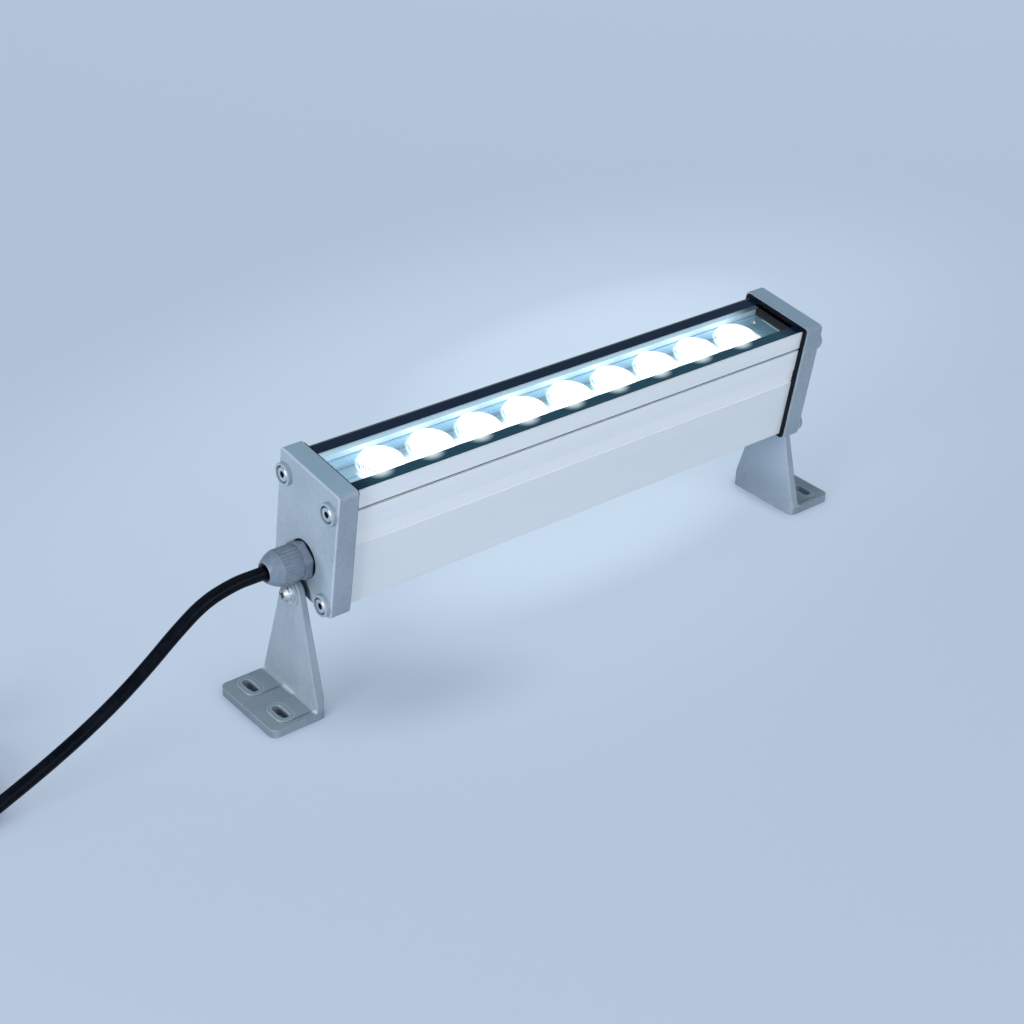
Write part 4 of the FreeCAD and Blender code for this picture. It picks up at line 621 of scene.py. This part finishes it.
# ---------------------------------------------------------------------------------------------
# Lens tray: a folded plate of brushed aluminium that stands on the board between the ledges, with
# a round hole for each lens. Two small pan-head screws hold it down at each end.
# ---------------------------------------------------------------------------------------------
tray_metal, tree, shader = new_finish("tray_aluminium", Metallic=0.75, Emission_Strength=1.0)
grain = place_group(tree, drawn_grain, Fineness=0.5).outputs["Shade"]
shade = ramp(tree, grain, 0.40, 0.62)
lens_reach = place_group(tree, lens_beat).outputs["Reach"]
lamp_x, lamp_y, _ = split(tree, lamp_place(tree))
# Painted shade in the gap along both edges of the tray.
gap_line = ramp(tree, sums(tree, "ABSOLUTE", lamp_y), 0.01265, 0.01285)
metal = between(tree, shade, (0.30, 0.43, 0.52, 1), (0.52, 0.68, 0.78, 1))
# The tray glows with painted light of the lenses: pale round each hole, near white along the front, lighter
# on its cut ends and dimmer towards the +X end.
lit = between(tree, shade, (0.10, 0.19, 0.25, 1), (0.17, 0.28, 0.34, 1))
lit = between(tree, ramp(tree, lamp_x, 0.120, 0.132), lit, (0.04, 0.11, 0.155, 1))
lit = between(tree, ramp(tree, lens_reach, 0.0124, 0.0108), lit, (0.75, 0.90, 0.95, 1))
link = times(tree, ramp(tree, lamp_y, 0.0015, -0.0035), ramp(tree, lens_reach, 0.0176, 0.0152))
lit = between(tree, link, lit, (0.95, 1.0, 1.0, 1))
cut_edge = times(tree, ramp(tree, sums(tree, "ABSOLUTE", lamp_x), 0.1374, 0.1377),
                 ramp(tree, lamp_y, 0.0085, 0.0065))
lit = between(tree, cut_edge, lit, (0.50, 0.68, 0.76, 1))
feed(tree, shader, Base_Color=between(tree, gap_line, metal, (0.12, 0.17, 0.20, 1)),
     Roughness=sums(tree, "MULTIPLY_ADD", shade, 0.14, 0.24), Normal=bumped(tree, grain, 0.35, 0.0004),
     Emission_Color=between(tree, gap_line, lit, (0.08, 0.13, 0.15, 1)))

tray_top, tray_half, tray_end, tray_sheet = 0.0525, 0.01325, 0.1380, 0.0008
tray_hole, leg_cutback, board_top = 0.0107, 0.022, 0.0440
tray = bmesh.new()
bmesh.ops.create_grid(tray, x_segments=1, y_segments=1, size=1)
bmesh.ops.scale(tray, vec=(tray_end, tray_half, 1), verts=tray.verts)
bmesh.ops.delete(tray, geom=tray.faces[:], context="FACES_ONLY")
for along in lens_places:
    bmesh.ops.create_circle(tray, cap_ends=False, segments=64, radius=tray_hole,
                            matrix=Matrix.Translation((along, 0, 0)))
bmesh.ops.triangle_fill(tray, use_beauty=True, edges=tray.edges[:], normal=(0, 0, 1))
sheet = bmesh.ops.extrude_face_region(tray, geom=tray.faces[:])["geom"]
bmesh.ops.translate(tray, vec=(0, 0, -tray_sheet),
                    verts=[v for v in sheet if isinstance(v, bmesh.types.BMVert)])
bmesh.ops.translate(tray, vec=(0, 0, tray_top), verts=tray.verts)
leg_top = tray_top - tray_sheet / 2
for side in (-1, 1):
    add_box(tray, (2 * tray_end - leg_cutback, tray_sheet, leg_top - board_top),
            (0, side * (tray_half - tray_sheet / 2), (leg_top + board_top) / 2))
bmesh.ops.recalc_face_normals(tray, faces=tray.faces)
bmesh.ops.transform(tray, matrix=lamp_lean, verts=tray.verts)
new_piece("lens_tray", tray, tray_metal, smooth=False)

head_height, head_radius, head_top_radius, head_socket = 0.0009, 0.0017, 0.0010, 0.0005
screw_along, screw_aside = 0.1322, 0.0082
tray_screws = bmesh.new()
for along in (-screw_along, screw_along):
    for across in (-screw_aside, screw_aside):
        head = add_stub(tray_screws, 32, head_radius, head_top_radius, head_height,
                        (along, across, tray_top + head_height / 2))
        top = [f for v in head for f in v.link_faces if f.normal.z > 0.9 and len(f.verts) > 8][0]
        bmesh.ops.inset_individual(tray_screws, faces=[top], thickness=head_socket, depth=0.0)
        bmesh.ops.translate(tray_screws, vec=(0, 0, -head_socket), verts=top.verts[:])
bmesh.ops.recalc_face_normals(tray_screws, faces=tray_screws.faces)
bmesh.ops.transform(tray_screws, matrix=lamp_lean, verts=tray_screws.verts)
new_piece("lens_tray_screws", tray_screws, bright_steel, smooth=False)

# ---------------------------------------------------------------------------------------------
# Driver: a green board in an insulating liner inside the housing, with transformer, choke, three
# capacitors and two terminal blocks, and the single wires that join it to the gland and board.
# ---------------------------------------------------------------------------------------------
for name, dark, light, roughness, dressed in (
        ("liner_film", (0.74, 0.74, 0.68, 1), (0.88, 0.88, 0.82, 1), 0.45, ("driver_liner",)),
        ("driver_board_green", (0.02, 0.13, 0.06, 1), (0.05, 0.24, 0.12, 1), 0.28, ("driver_board",)),
        ("moulded_black", (0.020, 0.020, 0.024, 1), (0.050, 0.050, 0.056, 1), 0.42,
         ("driver_transformer", "driver_choke", "driver_capacitors")),
        ("terminal_green", (0.06, 0.26, 0.13, 1), (0.11, 0.38, 0.20, 1), 0.38,
         ("driver_input_terminal", "driver_output_terminal")),
        ("wire_red", (0.38, 0.03, 0.02, 1), (0.52, 0.05, 0.04, 1), 0.33, ("led_wires",)),
        ("wire_brown", (0.13, 0.05, 0.03, 1), (0.22, 0.09, 0.05, 1), 0.33, ("supply_wires",))):
    finish = moulded_finish(name, dark, light, roughness, peel=0.5, relief=0.1, high=0.65, dulling=0.12)
    dress(finish, *dressed)

# ---------------------------------------------------------------------------------------------
# Cable gland: satin grey nylon. The hexagon seals on the end cap, and the dome nut that clamps
# the cable has ribs for the fingers and a smooth nose with a wide dark mouth.
# ---------------------------------------------------------------------------------------------
grey_nylon = moulded_finish("grey_nylon", (0.150, 0.195, 0.255, 1), (0.205, 0.255, 0.322, 1), 0.32,
                            peel=0.5, relief=0.12, high=0.65, dulling=0.10)
dress(grey_nylon, "gland_body", "gland_locknut")


def keep_crisp(piece, name):
    """Splits the sharp edges of a smooth piece, so that its ribs stay crisp."""
    crisp = piece.modifiers.new(name, "EDGE_SPLIT")
    crisp.split_angle = math.radians(32)


gland_height = 0.01685
nut_outline = [(-0.15455, 0.00665), (-0.15455, 0.00815), (-0.15480, 0.00850), (-0.15520, 0.00860),
               (-0.15800, 0.00860), (-0.16120, 0.00860), (-0.16420, 0.00860), (-0.16480, 0.00842),
               (-0.16620, 0.00800), (-0.16780, 0.00720), (-0.16930, 0.00622), (-0.17040, 0.00548),
               (-0.17080, 0.00510), (-0.17090, 0.00470), (-0.17070, 0.00440), (-0.17000, 0.00428),
               (-0.16700, 0.00415), (-0.16660, 0.00350), (-0.16355, 0.00350), (-0.16355, 0.00665)]
nut_steps, ribs_reach, ribs_end, nut_rib_share = 112, 0.0084, -0.1643, 0.944
dome_nut = bmesh.new()
turn_outline(dome_nut, [(along, 0, gland_height + reach) for along, reach in nut_outline],
             (0, 0, gland_height), (1, 0, 0), nut_steps)
for vert in dome_nut.verts:
    y, z = vert.co.y, vert.co.z - gland_height
    if math.hypot(y, z) > ribs_reach and ribs_end < vert.co.x and step_round(y, z, nut_steps) % 4 in (1, 2):
        vert.co.y, vert.co.z = y * nut_rib_share, gland_height + z * nut_rib_share
close_up(dome_nut)
bmesh.ops.transform(dome_nut, matrix=lamp_lean, verts=dome_nut.verts)
ribbed_nut = new_piece("ribbed_dome_nut", dome_nut, grey_nylon)
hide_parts("gland_dome_nut")
keep_crisp(ribbed_nut, "crisp_ribs")

# ---------------------------------------------------------------------------------------------
# Supply cable: black rubber, 6.3 mm across, clamped in the gland. It droops to the floor and its
# spare length is put away in a coil of three turns, with the connector lying on top.
# ---------------------------------------------------------------------------------------------
cable_black = moulded_finish("black_cable_jacket", (0.001, 0.002, 0.005, 1), (0.004, 0.006, 0.012, 1), 0.24,
                             peel=0.5, relief=0.12, dulling=0.12, IOR=1.17)
dress(cable_black, "cable_inside_gland")

cable_radius, cable_y = 0.00315, 0.001645
cable_points = [(x / 1000, cable_y, z / 1000) for x, z in [
    (-170.2, 74.32), (-178, 74.4), (-186, 74.4), (-201.5, 70.9), (-216.5, 60.6), (-230.5, 49.2),
    (-246.5, 37.9), (-264, 27.7), (-282.5, 18.6), (-300, 11.0), (-313, 5.6), (-325, 3.4)]]
# Along the coil: the angle turned in degrees, the radius and the height in millimetres.
coil_knots = [(0, 34.95, 3.15), (300, 34.95, 3.15), (360, 28.3, 3.15), (480, 28.3, 3.15), (600, 28.3, 9.6),
              (840, 28.3, 9.6), (960, 34.9, 9.9), (1080, 34.9, 9.9), (1170, 34.9, 9.7)]
coil_middle = Vector((-0.334, 0.036295))
coil_turns, points_per_turn = 3.25, 24
# The curve runs inside its points, so they stand this much further out.
nurbs_reach = 8 / (6 + 2 * math.cos(2 * math.pi / points_per_turn))
for step in range(int(coil_turns * points_per_turn) + 1):
    turned = step * 360 / points_per_turn
    for start, end in zip(coil_knots, coil_knots[1:]):
        if start[0] <= turned <= end[0]:
            share = (turned - start[0]) / (end[0] - start[0])
            share = share * share * (3 - 2 * share)
            ring = start[1] + (end[1] - start[1]) * share
            level = start[2] + (end[2] - start[2]) * share
            break
    angle = math.radians(-90 - turned)
    cable_points.append((coil_middle.x + ring * nurbs_reach / 1000 * math.cos(angle),
                         coil_middle.y + ring * nurbs_reach / 1000 * math.sin(angle), level / 1000))
cable_points += [(-0.3680, 0.0440, 0.0106), (-0.3645, 0.0535, 0.0135), (-0.3570, 0.0600, 0.0170),
                 (-0.3490, 0.0623, 0.0195), (-0.3420, 0.0623, 0.0200), (-0.3350, 0.0623, 0.0200)]
cable_line = bpy.data.curves.new("cable_lead", "CURVE")
cable_line.dimensions = "3D"
cable_line.bevel_depth = cable_radius
cable_line.bevel_resolution = 6
cable_line.resolution_u = 6
cable_line.use_fill_caps = True
cable_line.materials.append(cable_black)
spline = cable_line.splines.new("NURBS")
spline.points.add(len(cable_points) - 1)
for point, place in zip(spline.points, cable_points):
    point.co = (*place, 1)
spline.order_u = 3
spline.use_endpoint_u = True
cable = bpy.data.objects.new("cable_lead", cable_line)
bpy.context.scene.collection.objects.link(cable)
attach(cable, "lamp")
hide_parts("power_cable", "cable_coil")

# ---------------------------------------------------------------------------------------------
# Cable tie: a thin black nylon strap pulled tight round the turns on the far side of the coil,
# with its square head. The tail is cut off flush.
# ---------------------------------------------------------------------------------------------
tie_nylon = moulded_finish("tie_nylon", (0.012, 0.013, 0.016, 1), (0.030, 0.032, 0.038, 1), 0.34,
                           peel=0.4, relief=0.0)
loop_wide, loop_high, loop_round, strap_width, strap_thick = 0.0141, 0.0137, 0.0042, 0.0036, 0.0009
head_size, head_place = (0.0052, 0.0034, 0.0054), (0.0008, 0.0082, strap_width / 2)
tie_out, tie_level, tie_angle = 0.03165, 0.00685, math.radians(20)
tie_mesh = bmesh.new()
bmesh.ops.create_grid(tie_mesh, x_segments=1, y_segments=1, size=0.5)
bmesh.ops.delete(tie_mesh, geom=tie_mesh.faces[:], context="FACES_ONLY")
bmesh.ops.scale(tie_mesh, vec=(loop_wide, loop_high, 1), verts=tie_mesh.verts)
bmesh.ops.bevel(tie_mesh, geom=tie_mesh.verts[:], offset=loop_round, affect="VERTICES", segments=8,
                profile=0.5, material=-1)
strap = bmesh.ops.extrude_edge_only(tie_mesh, edges=tie_mesh.edges[:])["geom"]
bmesh.ops.translate(tie_mesh, vec=(0, 0, strap_width),
                    verts=[v for v in strap if isinstance(v, bmesh.types.BMVert)])
bmesh.ops.recalc_face_normals(tie_mesh, faces=tie_mesh.faces)
bmesh.ops.solidify(tie_mesh, geom=tie_mesh.faces[:], thickness=strap_thick)
head = add_box(tie_mesh, head_size, head_place)
bmesh.ops.bevel(tie_mesh, geom=[e for e in tie_mesh.edges if all(v in head for v in e.verts)], offset=0.0006,
                affect="EDGES", segments=2, profile=0.5, material=-1)
bmesh.ops.translate(tie_mesh, vec=(0, 0, -strap_width / 2), verts=tie_mesh.verts)
bmesh.ops.rotate(tie_mesh, cent=(0, 0, 0), matrix=Matrix.Rotation(math.pi / 2, 3, "X"), verts=tie_mesh.verts)
bmesh.ops.translate(tie_mesh, vec=(tie_out, 0, tie_level), verts=tie_mesh.verts)
bmesh.ops.rotate(tie_mesh, cent=(0, 0, 0), matrix=Matrix.Rotation(tie_angle, 3, "Z"), verts=tie_mesh.verts)
bmesh.ops.translate(tie_mesh, vec=(coil_middle.x, coil_middle.y, 0), verts=tie_mesh.verts)
coil_tie = new_piece("coil_tie", tie_mesh, tie_nylon, smooth=False)

# ---------------------------------------------------------------------------------------------
# Connector: a waterproof two-pin plug in moulded black nylon. A soft boot leaves the cable, and
# the knurled coupling nut turns round the brass pins.
# ---------------------------------------------------------------------------------------------
black_connector = moulded_finish("black_connector", (0.014, 0.015, 0.018, 1), (0.034, 0.036, 0.042, 1), 0.36,
                                 peel=0.7, relief=0.2)
dress(black_connector, "connector_body")
dress(black_rubber, "connector_boot")
pin_brass, tree, shader = new_finish("pin_brass", Metallic=1.0)
scuffs = noise(tree, 800.0, 2.0)
feed(tree, shader, Base_Color=between(tree, scuffs, (0.62, 0.46, 0.20, 1), (0.80, 0.64, 0.34, 1)),
     Roughness=sums(tree, "MULTIPLY_ADD", scuffs, 0.15, 0.18))
dress(pin_brass, "connector_pins")

plug_y, plug_z = 0.062295, 0.0200
coupling_outline = [(-0.3140, 0.0059), (-0.3140, 0.0070), (-0.3136, 0.0074), (-0.3122, 0.0074),
                    (-0.3118, 0.0071), (-0.3114, 0.0074), (-0.3000, 0.0074), (-0.2996, 0.0071),
                    (-0.2992, 0.0074), (-0.2984, 0.0074), (-0.2980, 0.0070), (-0.2980, 0.0059)]
coupling_steps, knurl_start, knurl_end, knurl_reach, knurl_share = 96, -0.3115, -0.2999, 0.0073, 0.94
coupling = bmesh.new()
turn_outline(coupling, [(along, plug_y, plug_z + reach) for along, reach in coupling_outline],
             (0, plug_y, plug_z), (1, 0, 0), coupling_steps)
for vert in coupling.verts:
    y, z = vert.co.y - plug_y, vert.co.z - plug_z
    knurled = knurl_start < vert.co.x < knurl_end and math.hypot(y, z) > knurl_reach
    if knurled and step_round(y, z, coupling_steps) % 4 in (1, 2):
        vert.co.y, vert.co.z = plug_y + y * knurl_share, plug_z + z * knurl_share
close_up(coupling)
coupling_nut = new_piece("knurled_coupling_nut", coupling, black_connector)
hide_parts("connector_nut")
keep_crisp(coupling_nut, "crisp_knurl")
